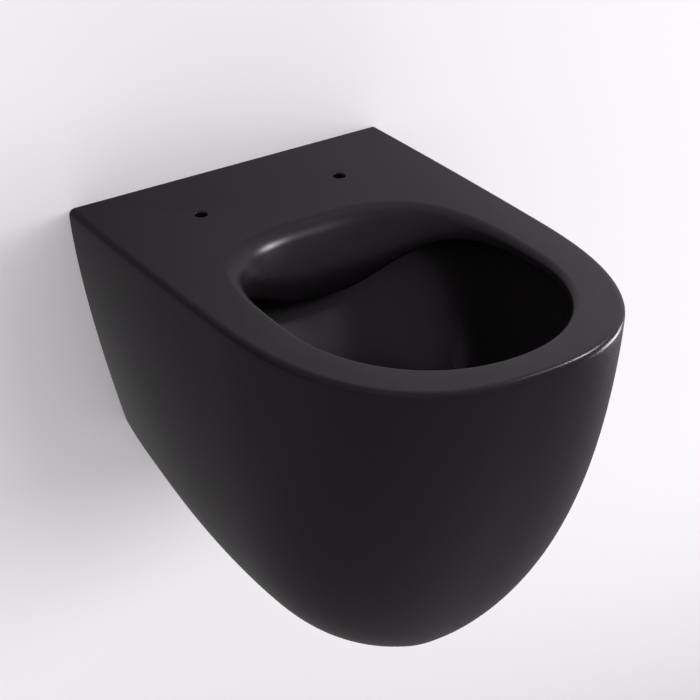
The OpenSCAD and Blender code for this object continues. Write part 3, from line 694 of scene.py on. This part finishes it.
def inlet_seal():
    """The sleeve with its collar and three ribs."""
    mouth, collar = -socket_mouth, seal_high.y
    outer = socket_radius - stud_play
    inner = pipe_radius + stud_play
    widest = seal_high.x
    profile = [
        (inner, collar), (widest - 1.5, collar), (widest, collar - 1.5), (widest, mouth), (outer, mouth)]
    start = mouth
    ribs = 3
    for i in range(ribs):
        profile += [(outer, start - 0.5), (outer, start - seal_rib)]
        start -= seal_rib
        if i < ribs - 1:
            profile += [(outer - seal_groove_depth, start), (outer - seal_groove_depth, start - seal_groove)]
            start -= seal_groove
    profile += [(inner, start)]
    return edged(lathe("inlet_seal_moulded", profile, on_inlet, 1), 0.4, angle=30)


def flow_restrictor():
    """A ring with four webs that meet at a small boss."""
    front, back = restrictor_low.y, restrictor_high.y
    outer = restrictor_high.x
    bore, web, boss = 13.0, 3.0, 4.5
    profile = [(bore, front), (outer, front), (outer, back), (bore, back)]
    ring = lathe("flow_restrictor_moulded", profile, on_inlet, 1)
    joined(ring, bar("boss", boss, front, back, on_inlet, 1))
    reach = bore + web / 2
    for wide, high in ((reach, web / 2), (web / 2, reach)):
        corners = [(-wide, -high), (wide, -high), (wide, high), (-wide, high)]
        joined(ring, prism("web", [(x, z + inlet_z) for x, z in corners], 1, front, back))
    return edged(ring, 0.5, angle=50)


finished(flush_pipe(), ["flush_pipe"], polyethylene)
finished(inlet_seal(), ["inlet_seal"], rubber)
finished(flow_restrictor(), ["flow_restrictor"], polypropylene)


# The drain connector and its seal.
# The connector is moulded polyethylene: a bell for the pan's horn, drawn in to the drain's own size.
# A rubber ring with a lip fills the bell round the horn.
bell_low, bell_high = (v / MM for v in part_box("outlet_connector"))
ring_low, ring_high = (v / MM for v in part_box("outlet_seal"))
outlet_z = (bell_low.z + bell_high.z) / 2
bell_radius = (bell_high.z - bell_low.z) / 2
drain_radius = 45.0
drain_wall = 3.5
horn_radius = 51.0
throat = 9.0
on_outlet = (0, 0, outlet_z)
bell_ribs, bell_rib_thickness = 24, 2.0
bell_rib_length, bell_rib_height = 1.1, 0.9


def drain_connector():
    """The bell, its neck and the pipe behind it, with small ribs round the neck that stiffen it."""
    front, back, chamfer = bell_low.y, bell_high.y, drain_wall / 2
    step = bell_radius - drain_radius
    neck_start, neck_end = -(throat - drain_wall - step / 2), -(throat - drain_wall + step / 2)
    connector = lathe("outlet_connector_moulded", [
        (drain_radius - drain_wall, back), (drain_radius - chamfer, back), (drain_radius, back - chamfer),
        (drain_radius, neck_start), (bell_radius, neck_end), (bell_radius, front),
        (bell_radius - drain_wall, front), (bell_radius - drain_wall, -(throat + step / 2)),
        (bell_radius - drain_wall - chamfer, -throat), (drain_radius - drain_wall, -throat),
    ], on_outlet, 1, 144)
    edged(connector, 0.6, angle=25)
    sizes = {"Ribs": bell_ribs, "Radius": (drain_radius + bell_radius) / 2 * MM}
    tree, inputs = node_group("neck_ribs", sizes)
    rib = add_node(tree, "GeometryNodeMeshCube", {
        "Size": (bell_rib_thickness * MM, step * bell_rib_length * MM, step * bell_rib_height * MM)})
    circle = add_node(tree, "GeometryNodeMeshCircle", {
        "Vertices": inputs["Ribs"], "Radius": inputs["Radius"]})
    middle = (0, (neck_start + neck_end) / 2 * MM, outlet_z * MM)
    upright = add_node(tree, "GeometryNodeTransform", {
        "Geometry": circle.outputs[0], "Rotation": (math.pi / 2, 0, 0), "Translation": middle})
    place = add_node(tree, "GeometryNodeInputPosition").outputs[0]
    away = add_node(tree, "ShaderNodeVectorMath", {0: place, 1: middle}, operation="SUBTRACT").outputs[0]
    aligned = add_node(tree, "FunctionNodeAlignEulerToVector", {"Vector": away}, axis="Z", pivot_axis="Y")
    set_out = add_node(tree, "GeometryNodeInstanceOnPoints", {
        "Points": upright.outputs[0], "Instance": rib.outputs["Mesh"], "Rotation": aligned.outputs[0]})
    return joined(connector, grown("ribs", tree, set_out.outputs[0], sizes, polyethylene_bell))


def outlet_seal():
    """The ring, with two ribs in the bell and a lip over the bell's mouth."""
    inner, outer, mouth = horn_radius + stud_play, bell_radius - drain_wall - stud_play, bell_low.y
    back, lip = ring_high.y, ring_low.y
    ring = lathe("outlet_seal_moulded", [
        (inner, back), (outer - 0.8, back), (outer, back - 1.5), (outer, back - 6), (outer - 1, back - 7),
        (outer - 1, back - 10), (outer, back - 11), (outer, mouth), (bell_radius, mouth),
        (bell_radius, mouth - 1.5), (inner, lip),
    ], on_outlet, 1, 144)
    return edged(ring, 0.4, angle=30)


polyethylene_bell = dark_polyethylene("polyethylene_bell", (1, 1, 1))
finished(drain_connector(), ["outlet_connector"], polyethylene_bell)
finished(outlet_seal(), ["outlet_seal"], rubber)


# The pan.
# Vitreous china, slip cast in one piece, sprayed with a satin black glaze and fired. The glaze pulls every
# edge round. The face against the wall and the horn's end are ground flat, down to the bare clay.
pan_low, pan_high = (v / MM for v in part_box("pan"))
deck = pan_high.z
body_width = pan_high.x - pan_low.x
body_height = pan_high.z - pan_low.z
projection = 498.0
wall_width = 351.0
wall_height = 245.0
belly_reach = 351.0
shoulder_reach = 257.0
belly_shoulder_reach = 276.0
edge_radius = 6.5
shell_wall = 10.0
deck_thickness = 14.0
width_fall, width_round = 3.35, 2.6
reach_fall, reach_round = 1.31, 1.43
under_fall, under_round = 0.87, 1.68
foot_fall, foot_round = 2.51, 2.02
wall_taper_fall = 1.37
side_bow = 2.05
front_square = 2.54
foot_share = 0.71

opening_middle = 314.0
opening_half_width = 138.0
opening_front = 152.0
opening_back = 178.0
opening_square, opening_back_square = 2.11, 3.0
rim_radius = 7.0
hood_radius = 12.0
lip_depth = 13.0
hood_drop = 53.0
hood_lean = 29.0
hood_side_lean = 38.0
hood_fade = 10.1
undercut = 15.0
lip_radius = 4.0
skirt_thickness = 11.0
skirt_lean_share = 0.5
gutter_reach = opening_middle - opening_back - 2
gutter_height = 42.0
gutter_fillet = 5.0
sump_depth = 293.0
sump_half_width = 40.0
sump_middle = 262.0
sump_back = 230.0
sump_front = 300.0
bowl_fall, bowl_round, bowl_floor_fall = 1.5, 1.1, 10.0
back_start_share, back_length_share = 0.05, 0.6
bowl_wall = 10.0

trap_half_height = 29.0
trap_half_width = 40.0
trap_wall = 9.0
trap_lead, passage_lead = 3.0, 3.3
trap_low_depth = 261.0
oval_after = 14
trap_high_depth = 156.0
trap_bend = 46.0
horn_bend = 56.0
trap_rise_angle = math.radians(70)
sump_tail = 22.0
horn_end = 12.0
horn_start = 54.0
horn_wall = 9.0
outlet_depth = deck - outlet_z
inlet_wall = 11.0
socket_end = socket_mouth + 45.0
feed_radius = 18.0

seat_hole_x = 77.5
seat_hole_reach = 78.0
seat_hole_radius = 6.0
seat_boss_radius = 19.0
seat_boss_thickness = 21.0
rib_depth = 128.0
slot_width = 36.0
relief_inset = 12.0
slot_low, slot_high = -20.0, 21.0
access_radius = 12.0
overrun = 12.0
cast_grain, cast_passes, kept_faces = 3.2, 4, 0.4
outline_points, edge_rings, wall_rings, belly_rings = 241, 9, 44, 40
hollow_points, hollow_wall_rings, hollow_belly_rings = 141, 30, 24
belly_crowding = 2.4
ground_depth, horn_ground_depth = 0.05, 0.6


def smooth(t):
    """A soft step from 0 to 1."""
    u = np.clip(t, 0, 1)
    return u * u * (3 - 2 * u)


def fall_off(t, fall, rounding):
    """From 1 at the top to 0 at the bottom, with a rounded shoulder."""
    return np.maximum(0, 1 - np.maximum(t, 0) ** fall) ** (1 / rounding)


def bent(c, square):
    """Bends a sine or cosine so that an oval turns squarer."""
    return np.sign(c) * np.abs(c) ** (2 / square)


def evenly(points, count):
    """The same open line with so many points at even steps."""
    steps = np.linalg.norm(np.diff(points, axis=0), axis=1)
    along = np.concatenate([[0], np.cumsum(steps)])
    wanted = np.linspace(0, along[-1], count)
    return np.stack([np.interp(wanted, along, points[:, k]) for k in range(points.shape[1])], axis=1)


def outside_ring(depth, grow, back, count):
    """The pan's outline at a depth below the deck, from the back's right corner round to its left one."""
    fine = 400
    high, wall_high = body_height + grow, wall_height + grow
    inset = 0.0
    if depth < edge_radius and grow == 0:
        inset = edge_radius - math.sqrt(edge_radius**2 - (edge_radius - depth) ** 2)
    half = (body_width / 2 + grow) * fall_off(depth / high, width_fall, width_round) - inset
    front_share = fall_off(depth / high, reach_fall, reach_round)
    reach = belly_reach + (projection + grow - belly_reach) * front_share - inset
    low = (depth - wall_high) / (high - wall_high)
    foot = wall_width / 2 + grow
    if depth <= wall_high:
        half_back = foot * (1 - (1 - foot_share) * (depth / wall_high) ** wall_taper_fall) - inset
        back_reach = back
    else:
        half_back = foot * foot_share * fall_off(low, foot_fall, foot_round)
        back_reach = max(back, belly_reach * (1 - max(0, 1 - low**under_fall) ** (1 / under_round)))
    shoulder = max(shoulder_reach + (belly_shoulder_reach - shoulder_reach) * depth / high, back_reach)
    t = np.linspace(0, 1, fine)
    side = np.stack([
        half - (half - half_back) * (1 - t) ** side_bow, -(back_reach + (shoulder - back_reach) * t)], axis=1)
    angle = np.linspace(math.pi / 2, 0, fine)
    nose = np.stack([
        half * bent(np.sin(angle), front_square),
        -shoulder - (reach - shoulder) * bent(np.cos(angle), front_square)], axis=1)
    right = np.concatenate([side, nose[1:]])
    whole = np.concatenate([right, right[-2::-1] * (-1, 1)])
    return np.column_stack([evenly(whole, count), np.full(count, deck - depth)])


def loft(name, rings, pole):
    """A closed piece from rings of equally many points: the first is filled, the last is drawn to a pole."""
    count = len(rings[0])
    points = np.concatenate([*rings, [pole]])
    last = (len(rings) - 1) * count
    faces = [tuple(range(count)), *band_faces(len(rings) - 1, count, len(rings))]
    faces += [(last + i, last + (i + 1) % count, len(points) - 1) for i in range(count)]
    return new_piece(name, points.tolist(), faces)


def belly_steps(count):
    """Shares of the belly's height whose outlines shrink evenly towards its lowest point."""
    return 1 - (1 - np.arange(1, count) / count) ** belly_crowding


def outside():
    """The whole outside as a closed solid."""
    edge = edge_radius * (1 - np.cos(np.radians(np.linspace(0, 90, edge_rings))))
    wall = edge_radius + (wall_height - edge_radius) * np.arange(1, wall_rings + 1) / wall_rings
    belly = wall_height + (body_height - wall_height) * belly_steps(belly_rings)
    rings = [outside_ring(d, 0, 0, outline_points) for d in [*edge, *wall, *belly]]
    return loft("pan_glazed", rings, (0, -belly_reach, deck - body_height))


def shell_hollow():
    """The hollow inside the shell, open to the wall."""
    floor = wall_height - shell_wall
    wall = np.linspace(deck_thickness, floor, hollow_wall_rings)
    belly = floor + (body_height - wall_height) * belly_steps(hollow_belly_rings)
    rings = [outside_ring(d, -shell_wall, -overrun, hollow_points) for d in [*wall, *belly]]
    return loft("hollow", rings, (0, -belly_reach, deck - body_height + shell_wall))


def opening_ring(turns, half_width, front, back, middle, z):
    """Points round the opening, where turn 0 looks back to the wall."""
    square = np.where(np.cos(turns) > 0, opening_back_square, opening_square)
    s, c = bent(np.sin(turns), square), bent(np.cos(turns), square)
    y = -middle + np.where(c > 0, back, front) * c
    return np.stack([half_width * s, y, z + 0 * s], axis=1)


def hood_share(turns):
    """How much of the hood there is: 1 at the back, 0 at the front."""
    return np.abs(np.cos(turns / 2)) ** hood_fade


def gutter_roof(turns):
    """Depth of the gutter's roof behind the hood's skirt."""
    return lip_depth + (hood_drop - gutter_height) * hood_share(turns)


def lip_bottom(turns):
    """Depth of the lower edge of lip and hood."""
    return lip_depth + hood_drop * hood_share(turns)


def lean_share(turns, drop):
    """The share of its lean that the hood has at a depth below the deck. Its lower edge stands upright."""
    return hood_share(turns) * np.sin(math.pi / 2 * np.clip(drop / lip_bottom(turns), 0, 1))


def lip_ring(turns, lean, step_back, drop, inwards=1.0):
    """A ring round the opening at a depth below the deck, with a share of the hood's lean.

    It lies a share of the way in from the deck's edge to the face of lip and hood, or a step behind it.
    """
    return opening_ring(
        turns, opening_half_width - rim_radius * inwards - hood_side_lean * lean + step_back,
        opening_front - rim_radius * inwards + step_back,
        opening_back - hood_radius * inwards - hood_lean * lean + step_back, opening_middle, deck - drop)


def edge_ring(turns, angle, side):
    """The opening's rounded edge at an angle from the deck: side 1 goes down into it, -1 up and out of it."""
    drop = side * (rim_radius + (hood_radius - rim_radius) * hood_share(turns)) * (1 - math.cos(angle))
    return lip_ring(turns, lean_share(turns, drop), 0, drop, side * math.sin(angle))


def bowl_sizes(t, grow):
    """The bowl's half width, middle, front and back at a share of its depth."""
    wide, floor = fall_off(t, bowl_fall, bowl_round), fall_off(t, bowl_floor_fall, 2)
    throat_half = opening_half_width - rim_radius + undercut
    half = sump_half_width + (throat_half - sump_half_width) * wide
    middle = sump_middle + (opening_middle - sump_middle) * wide
    front = sump_front + (opening_middle + opening_front - rim_radius + undercut - sump_front) * wide
    back = gutter_reach + (sump_back - gutter_reach) * smooth((t - back_start_share) / back_length_share)
    return half * floor + grow, middle, (front - middle) * floor + grow, (middle - back) * floor + grow


def wall_ring(turns, t):
    """The bowl's inner wall, at a share of the way from the gutter down to the sump's floor."""
    top = gutter_roof(turns) + gutter_fillet
    depth = top + (sump_depth - top) * t
    half, middle, front, back = bowl_sizes((depth - lip_depth) / (sump_depth - lip_depth), 0)
    return opening_ring(turns, half, front, back, middle, deck - depth)


def bowl_hollow():
    """The water's space: from the opening's edge round lip and hood, and down the bowl to the sump."""
    turns = np.radians(np.arange(0, 360, 1.5))
    share = hood_share(turns)
    start = rim_radius + (hood_radius - rim_radius) * share
    low, roof = lip_bottom(turns), gutter_roof(turns)
    last = low - lip_radius
    rings = [edge_ring(turns, math.radians(4), -1)]
    rings += [edge_ring(turns, math.radians(a), 1) for a in (4, *range(12, 91, 8), 90)]
    for t in np.linspace(0, 1, 15)[1:]:
        drop = start + (last - start) * t
        rings += [lip_ring(turns, lean_share(turns, drop), 0, drop)]
    rings += [
        lip_ring(turns, share, lip_radius * (1 - math.cos(a)), last + lip_radius * math.sin(a))
        for a in np.radians((15, 30, 45, 60, 75, 90))]
    rings += [lip_ring(turns, share * skirt_lean_share, skirt_thickness - lip_radius, low)]
    for t in (0.15, 0.5, 1):
        lean = (share + (lean_share(turns, roof) - share) * t) * skirt_lean_share
        rings += [lip_ring(turns, lean, skirt_thickness - lip_radius * (1 - t), low + (roof - low) * t)]
    floor_shares = (0.925, 0.945, 0.96, 0.973, 0.984, 0.992, 0.998)
    rings += [wall_ring(turns, t) for t in (*np.linspace(0, 0.9, 31), *floor_shares)]
    return loft("water_space", rings, (0, -sump_middle, deck - sump_depth))


def bowl_outside():
    """The outer face of the bowl's wall, inside the shell."""
    turns = np.radians(np.arange(0, 360, 3))
    rings = []
    for t in [0, *np.linspace(0.08, 0.94, 18), 0.965, 0.985, 0.995]:
        half, middle, front, back = bowl_sizes(np.array(float(t)), bowl_wall)
        depth = deck_thickness / 2 if t == 0 else lip_depth + (sump_depth - lip_depth) * t + bowl_wall
        rings.append(opening_ring(turns, half, front, back, middle, deck - depth))
    return loft("bowl_wall", rings, (0, -sump_middle, deck - sump_depth - bowl_wall))


def bend(start, radius, first, last, way, steps):
    """Stations along a bend of the trap's middle line, each with its reach, depth and steepness."""
    return [
        (start[0] + way * radius * (math.sin(a) - math.sin(first)),
         start[1] - way * radius * (math.cos(first) - math.cos(a)), a)
        for a in np.linspace(first, last, steps + 1)]


def trap_line(lead, tail):
    """The middle line of the passage from the horn over the weir and down into the sump."""
    rise = math.acos(1 - (outlet_depth - trap_high_depth) / (2 * horn_bend))
    up = bend((horn_start, outlet_depth), horn_bend, 0, rise, 1, 8)
    over = bend(up[-1], horn_bend, rise, 0, -1, 8)
    down = bend(over[-1], trap_bend, 0, -trap_rise_angle, -1, 12)
    drop = trap_low_depth - trap_high_depth - 2 * trap_bend * (1 - math.cos(trap_rise_angle))
    straight = drop / math.sin(trap_rise_angle)
    foot = (down[-1][0] + straight * math.cos(trap_rise_angle), down[-1][1] + drop)
    level = bend(foot, trap_bend, -trap_rise_angle, 0, 1, 10)
    ends = (horn_start - lead, outlet_depth, 0), (level[-1][0] + tail, trap_low_depth, 0)
    return [ends[0], *up[1:], *over[1:], *down[1:], *level, ends[1]]


def trap_passage(name, grow, lead, tail):
    """A solid along the trap's middle line, round at the horn and oval in the trap."""
    line = trap_line(lead, tail)
    round_radius = horn_radius - horn_wall
    turns = np.radians(np.arange(0, 360, 6))
    rings = []
    for i, (reach, depth, steep) in enumerate(line):
        oval = smooth(i / oval_after)
        wide = round_radius + (trap_half_width - round_radius) * oval + grow
        high = round_radius + (trap_half_height - round_radius) * oval + grow
        across = high * np.sin(turns)
        y, z = -reach + across * math.sin(steep), deck - depth + across * math.cos(steep)
        rings.append(np.stack([wide * np.cos(turns), y, z], axis=1))
    return loft(name, rings, (0, -line[-1][0], deck - line[-1][1]))


def rod(name, radius, first, last, z):
    """A round bar along Y between two distances from the wall."""
    return bar(name, radius, -last, -first, (0, 0, z), 1, 72)


def post(name, radius, low, high, x, reach):
    """An upright round bar."""
    return bar(name, radius, low, high, (x, -reach, 0), 2, 64)


def inner_china():
    """What stands in the hollow: the bowl's wall, trap, horn, socket, feed, bosses and fixing rib."""
    top = deck - deck_thickness / 2
    rib = prism("rib", [
        (-rib_front, deck - rib_depth), (-rib_back, deck - rib_depth), (-rib_back, top), (-rib_front, top),
    ], 0, -body_width / 2, body_width / 2)
    cut(rib, rod("room", bell_radius + 3, rib_back - 2, rib_front + 2, outlet_z))
    bosses = [
        post("boss", seat_boss_radius, deck - seat_boss_thickness, top, side * seat_hole_x, seat_hole_reach)
        for side in (-1, 1)]
    return joined(
        bowl_outside(), trap_passage("trap", trap_wall, trap_lead, sump_tail + trap_wall),
        rod("horn", horn_radius, horn_end, horn_start + 1, outlet_z),
        rod("socket", socket_radius + inlet_wall, socket_mouth, socket_end + inlet_wall, inlet_z),
        rod("feed", feed_radius + inlet_wall, socket_end, gutter_reach, inlet_z), *bosses, rib)


def cast_round(piece):
    """Softens every edge and corner, as slip and glaze do, and keeps a share of the faces."""
    remesh = piece.modifiers.new("cast", "REMESH")
    remesh.mode = "VOXEL"
    remesh.voxel_size = cast_grain * MM
    soften = piece.modifiers.new("soften", "SMOOTH")
    soften.factor = 0.5
    soften.iterations = cast_passes
    thin = piece.modifiers.new("thin", "DECIMATE")
    thin.ratio = kept_faces
    return baked(piece)


def drain_relief():
    """The notch in the lower back edge that makes room for the drain bell."""
    half = bell_radius - relief_inset
    reach = -bell_low.y
    outline = [(half, overrun), *arc((0, -reach + half), half, 0, -180, 16), (-half, overrun)]
    top = deck - wall_height + shell_wall
    return prism("relief", outline, 2, top - 3 * shell_wall, top)


def seat_hole(side):
    """A seat hole, its edge rounded by the glaze."""
    rounding = 1.4
    foot = deck - seat_boss_thickness - 5
    curve = [(seat_hole_radius + rounding * (1 - math.cos(a)), deck - rounding * (1 - math.sin(a)))
             for a in np.radians(np.linspace(0, 80, 7))]
    return lathe("seat_hole", [
        (0, foot), (seat_hole_radius, foot), *curve, (seat_hole_radius + rounding, deck + 2), (0, deck + 2),
    ], (side * seat_hole_x, -seat_hole_reach, 0), 2, 64, loop=False)


def underside_depth(reach):
    """Depth of the underside below the deck at a distance from the wall."""
    share = (1 - (1 - reach / belly_reach) ** under_round) ** (1 / under_fall)
    return wall_height + (body_height - wall_height) * share


depth_rise = underside_depth(screw_reach + access_radius) - underside_depth(screw_reach - access_radius)
under_slope = math.atan(depth_rise / (2 * access_radius))


def at_access_hole(piece, side):
    """Puts a piece that was made round the Z axis into an access hole, square to the underside."""
    into = Vector((0, -math.sin(under_slope), math.cos(under_slope)))
    turned = Vector((0, 0, 1)).rotation_difference(into).to_matrix()
    place = Vector((side * stud_x, -screw_reach, deck - underside_depth(screw_reach))) * MM
    for point in piece.data.vertices:
        point.co = turned @ point.co + place
    return piece


def china_pan():
    """The finished casting."""
    hollow = joined(shell_hollow(), drain_relief())
    cut(hollow, inner_china())
    pan = cut(
        outside(), cast_round(hollow), bowl_hollow(), trap_passage("passage", 0, passage_lead, sump_tail),
        rod("horn_bore", horn_radius - horn_wall, horn_end - 3, horn_start, outlet_z),
        rod("socket_bore", socket_radius, socket_mouth - 3, socket_end, inlet_z),
        rod("feed_bore", feed_radius, socket_end - 2, gutter_reach + 4, inlet_z))
    for side in (-1, 1):
        x = side * stud_x
        window = rounded_rectangle((x - slot_width / 2, slot_low), (x + slot_width / 2, slot_high), 2)
        slot = prism("slot", window, 1, -rib_front - 3, -rib_back + 3)
        access = at_access_hole(post("access", access_radius, -3, 2.5 * shell_wall, 0, 0), side)
        cut(pan, seat_hole(side), slot, access)
    return pan


# Matt black glaze, full of fine crystals: deep, faintly violet, with a broad soft sheen and no sharp mirror.
glaze = surface(
    "satin_black_glaze", "#181518", 0.28, clouds=("#171417", "#191619", 45.0, 1.0),
    gloss=(0.27, 0.29, 18.0, 3.0), reliefs=[(0.02, 16.0, 0.0), (0.004, 0.9, 1.0)], ior=1.5,
    specular_ior_level=0.39, specular_tint=linear("#fff5ff"))
# Fired clay where the grinding wheel took the glaze off: a flat, pale grey with dark specks.
bare_clay = surface(
    "ground_vitreous_china", "#b9b4ab", 0.8, clouds=("#aca79e", "#c3beb5", 1.2), reliefs=[(0.05, 0.5)])
pan = china_pan()
finished(pan, ["pan"], glaze, crease=38)
pan.data.materials.append(bare_clay)
for face in pan.data.polygons:
    at_wall = face.center.y > -ground_depth * MM and face.normal.y > 0.99
    at_horn = abs(face.center.y + horn_end * MM) < horn_ground_depth * MM and face.normal.y > 0.9
    if at_wall or at_horn:
        face.material_index = 1


# Access caps.
# Soft black polyethylene, pushed into the holes under the pan once the clamp screws are tight.
cap_thickness = 2.5
cap_edge = 5.0


def access_cap(name, side):
    """One cap: a low domed disc, with a plug that holds by three soft ribs."""
    disc, plug = access_radius + 2 * cap_thickness, access_radius - stud_play
    inner = plug - cap_thickness
    rib = 0.25
    profile = [(0, -cap_thickness), (disc - cap_edge, -cap_thickness), (disc - 1.5, -cap_thickness * 0.7),
               (disc, -cap_thickness * 0.25), (disc, 0), (plug, 0)]
    for z in (2.5, 5.0, 7.5):
        profile += [(plug, z - 0.6), (plug + rib, z), (plug, z + 0.6)]
    profile += [(plug, shell_wall - 1), (plug - 0.8, shell_wall), (inner, shell_wall), (inner, 0.5), (0, 0.5)]
    return at_access_hole(lathe(name, profile, (0, 0, 0), 2, 72, loop=False), side)


# Soft polyethylene in black: close to the glaze in tone, but duller, with a moulded grain.
cap_plastic = surface(
    "soft_black_polyethylene", "#1f1e1f", 0.5, gloss=(0.45, 0.56, 4.0), reliefs=[(0.03, 0.5)])
finished(access_cap("access_cap_right_moulded", 1), ["access_cap_right"], cap_plastic)
finished(access_cap("access_cap_left_moulded", -1), ["access_cap_left"], cap_plastic)


# The wall and the floor, one pale sheet.
# It shows from in front only, and lets light through to the pan's back when the pan is seen from behind.
stage_half = 6.0
floor_z = -0.62
cove = 0.25
wall_glow = 0.15
# These ramps paint light and shade into the wall's reflection: dimmer low down and on the left as painted
# shade of the pan, brighter high up and on the right.
beside_pan, above_pan, across_pan = (-0.4, 0.2), (0.1, 0.5), (-0.5, 0.5)
above_levels, across_levels = (0.24, 0.49), (-0.2, 0.3)


def in_mirrors(tree, ray):
    """1 for the rays that show what is mirrored or shines through, otherwise 0."""
    return calculate(tree, "MAXIMUM", ray.outputs["Is Glossy Ray"], ray.outputs["Is Transmission Ray"])


def pale_wall():
    """Matt paint that keeps the pan's shadow. In mirrors, a glow with painted shade: dimmer low down and on
    the left.
    """
    material, tree = empty_material("pale_wall")
    paint = add_node(tree, "ShaderNodeBsdfDiffuse", {"Color": linear("#f0eef0"), "Roughness": 0.0})
    glow = add_node(tree, "ShaderNodeEmission", {"Color": linear("#f2eff2"), "Strength": wall_glow})
    lit = add_node(tree, "ShaderNodeAddShader", {0: paint.outputs[0], 1: glow.outputs[0]})
    place = add_node(tree, "ShaderNodeTexCoord").outputs["Object"]
    x, _, z = add_node(tree, "ShaderNodeSeparateXYZ", {0: place}).outputs
    beside, above = ramp(tree, z, beside_pan, (0, 1)), ramp(tree, z, above_pan, above_levels)
    level = calculate(tree, "MULTIPLY_ADD", beside, ramp(tree, x, across_pan, across_levels), above)
    # Painted reflection of the wall: a glow whose strength follows the ramps above, not the lamps.
    painted_wall_reflection = add_node(tree, "ShaderNodeEmission", {"Color": linear("#f2eff2"), "Strength": level})
    clear = add_node(tree, "ShaderNodeBsdfTransparent")
    ray = add_node(tree, "ShaderNodeLightPath")
    behind = add_node(tree, "ShaderNodeNewGeometry").outputs["Backfacing"]
    front = calculate(tree, "SUBTRACT", 1.0, behind)
    reflected = calculate(tree, "MULTIPLY", in_mirrors(tree, ray), front)
    mirror = add_node(tree, "ShaderNodeMixShader", {
        0: reflected, 1: clear.outputs[0], 2: painted_wall_reflection.outputs[0]})
    seen = calculate(tree, "MULTIPLY", ray.outputs["Is Camera Ray"], front)
    mix = add_node(tree, "ShaderNodeMixShader", {0: seen, 1: mirror.outputs[0], 2: lit.outputs[0]})
    add_node(tree, "ShaderNodeOutputMaterial", {"Surface": mix.outputs[0]})
    return material


def backdrop():
    """Wall, cove and floor as one strip, with its face towards the camera."""
    turn = np.radians(np.linspace(0, 90, 17))
    curve = [(cove - cove * math.cos(a), floor_z + cove - cove * math.sin(a)) for a in turn]
    line = [(0.0, stage_half), *curve, (stage_half, floor_z)]
    points = [(x, -reach, z) for reach, z in line for x in (-stage_half, stage_half)]
    faces = [(2 * i, 2 * i + 1, 2 * i + 3, 2 * i + 2) for i in range(len(line) - 1)]
    mesh = bpy.data.meshes.new("backdrop")
    mesh.from_pydata(points, [], faces)
    if mesh.polygons[0].normal.y > 0:
        mesh.flip_normals()
    mesh.shade_smooth()
    mesh.materials.append(pale_wall())
    return new_object("backdrop", mesh)


backdrop()


# The light.
# An even pale room, and a large soft key lamp from the right of the camera. In reflections the room is
# dimmer, and brightest overhead. Two small lamps, high and low, only draw highlights on hood and rim.
lamp_aim = Vector((0, -0.25, 0))
room_light = 0.6
mirrored_level, mirrored_least = 0.22, 0.03
mirrored_slope = (0.07, 0.0, 0.23)


def soft_lamp(name, azimuth, elevation, distance, width, height, radiance):
    """A soft lamp that looks at the pan, from an azimuth that counts from the front to the right."""
    data = bpy.data.lights.new(name, "AREA")
    data.shape = "RECTANGLE"
    data.size, data.size_y = width, height
    data.energy = radiance * math.pi * width * height
    lamp = new_object(name, data)
    az, el = math.radians(azimuth), math.radians(elevation)
    way = Vector((math.cos(el) * math.sin(az), -math.cos(el) * math.cos(az), math.sin(el)))
    lamp.location = lamp_aim + way * distance
    lamp.rotation_mode = "QUATERNION"
    lamp.rotation_quaternion = (-way).to_track_quat("-Z", "Y")
    return lamp


key = soft_lamp("key", azimuth=35, elevation=3, distance=4.2, width=4.2, height=2.2, radiance=3.3)
key.visible_glossy = False
high_lamp = soft_lamp(
    "high_lamp", azimuth=70, elevation=41, distance=3.0, width=0.5, height=0.5, radiance=42.0)
low_lamp = soft_lamp("low_lamp", azimuth=77, elevation=-10, distance=1.3, width=0.6, height=0.5, radiance=9.0)
high_lamp.visible_diffuse = low_lamp.visible_diffuse = False

world = bpy.data.worlds.new("room")
world.use_nodes = True
bpy.context.scene.world = world
tree = world.node_tree
room = next(n for n in tree.nodes if n.bl_idname == "ShaderNodeBackground")
room.inputs["Color"].default_value = linear("#fdfbfd")
way = add_node(tree, "ShaderNodeTexCoord").outputs["Generated"]
slope = add_node(tree, "ShaderNodeVectorMath", {0: way, 1: mirrored_slope}, operation="DOT_PRODUCT")
sloped = calculate(tree, "ADD", slope.outputs["Value"], mirrored_level)
mirrored_room = calculate(tree, "MAXIMUM", sloped, mirrored_least)
dimming = calculate(tree, "SUBTRACT", mirrored_room, room_light)
ray = add_node(tree, "ShaderNodeLightPath")
strength = calculate(tree, "MULTIPLY_ADD", in_mirrors(tree, ray), dimming, room_light)
tree.links.new(strength, room.inputs["Strength"])
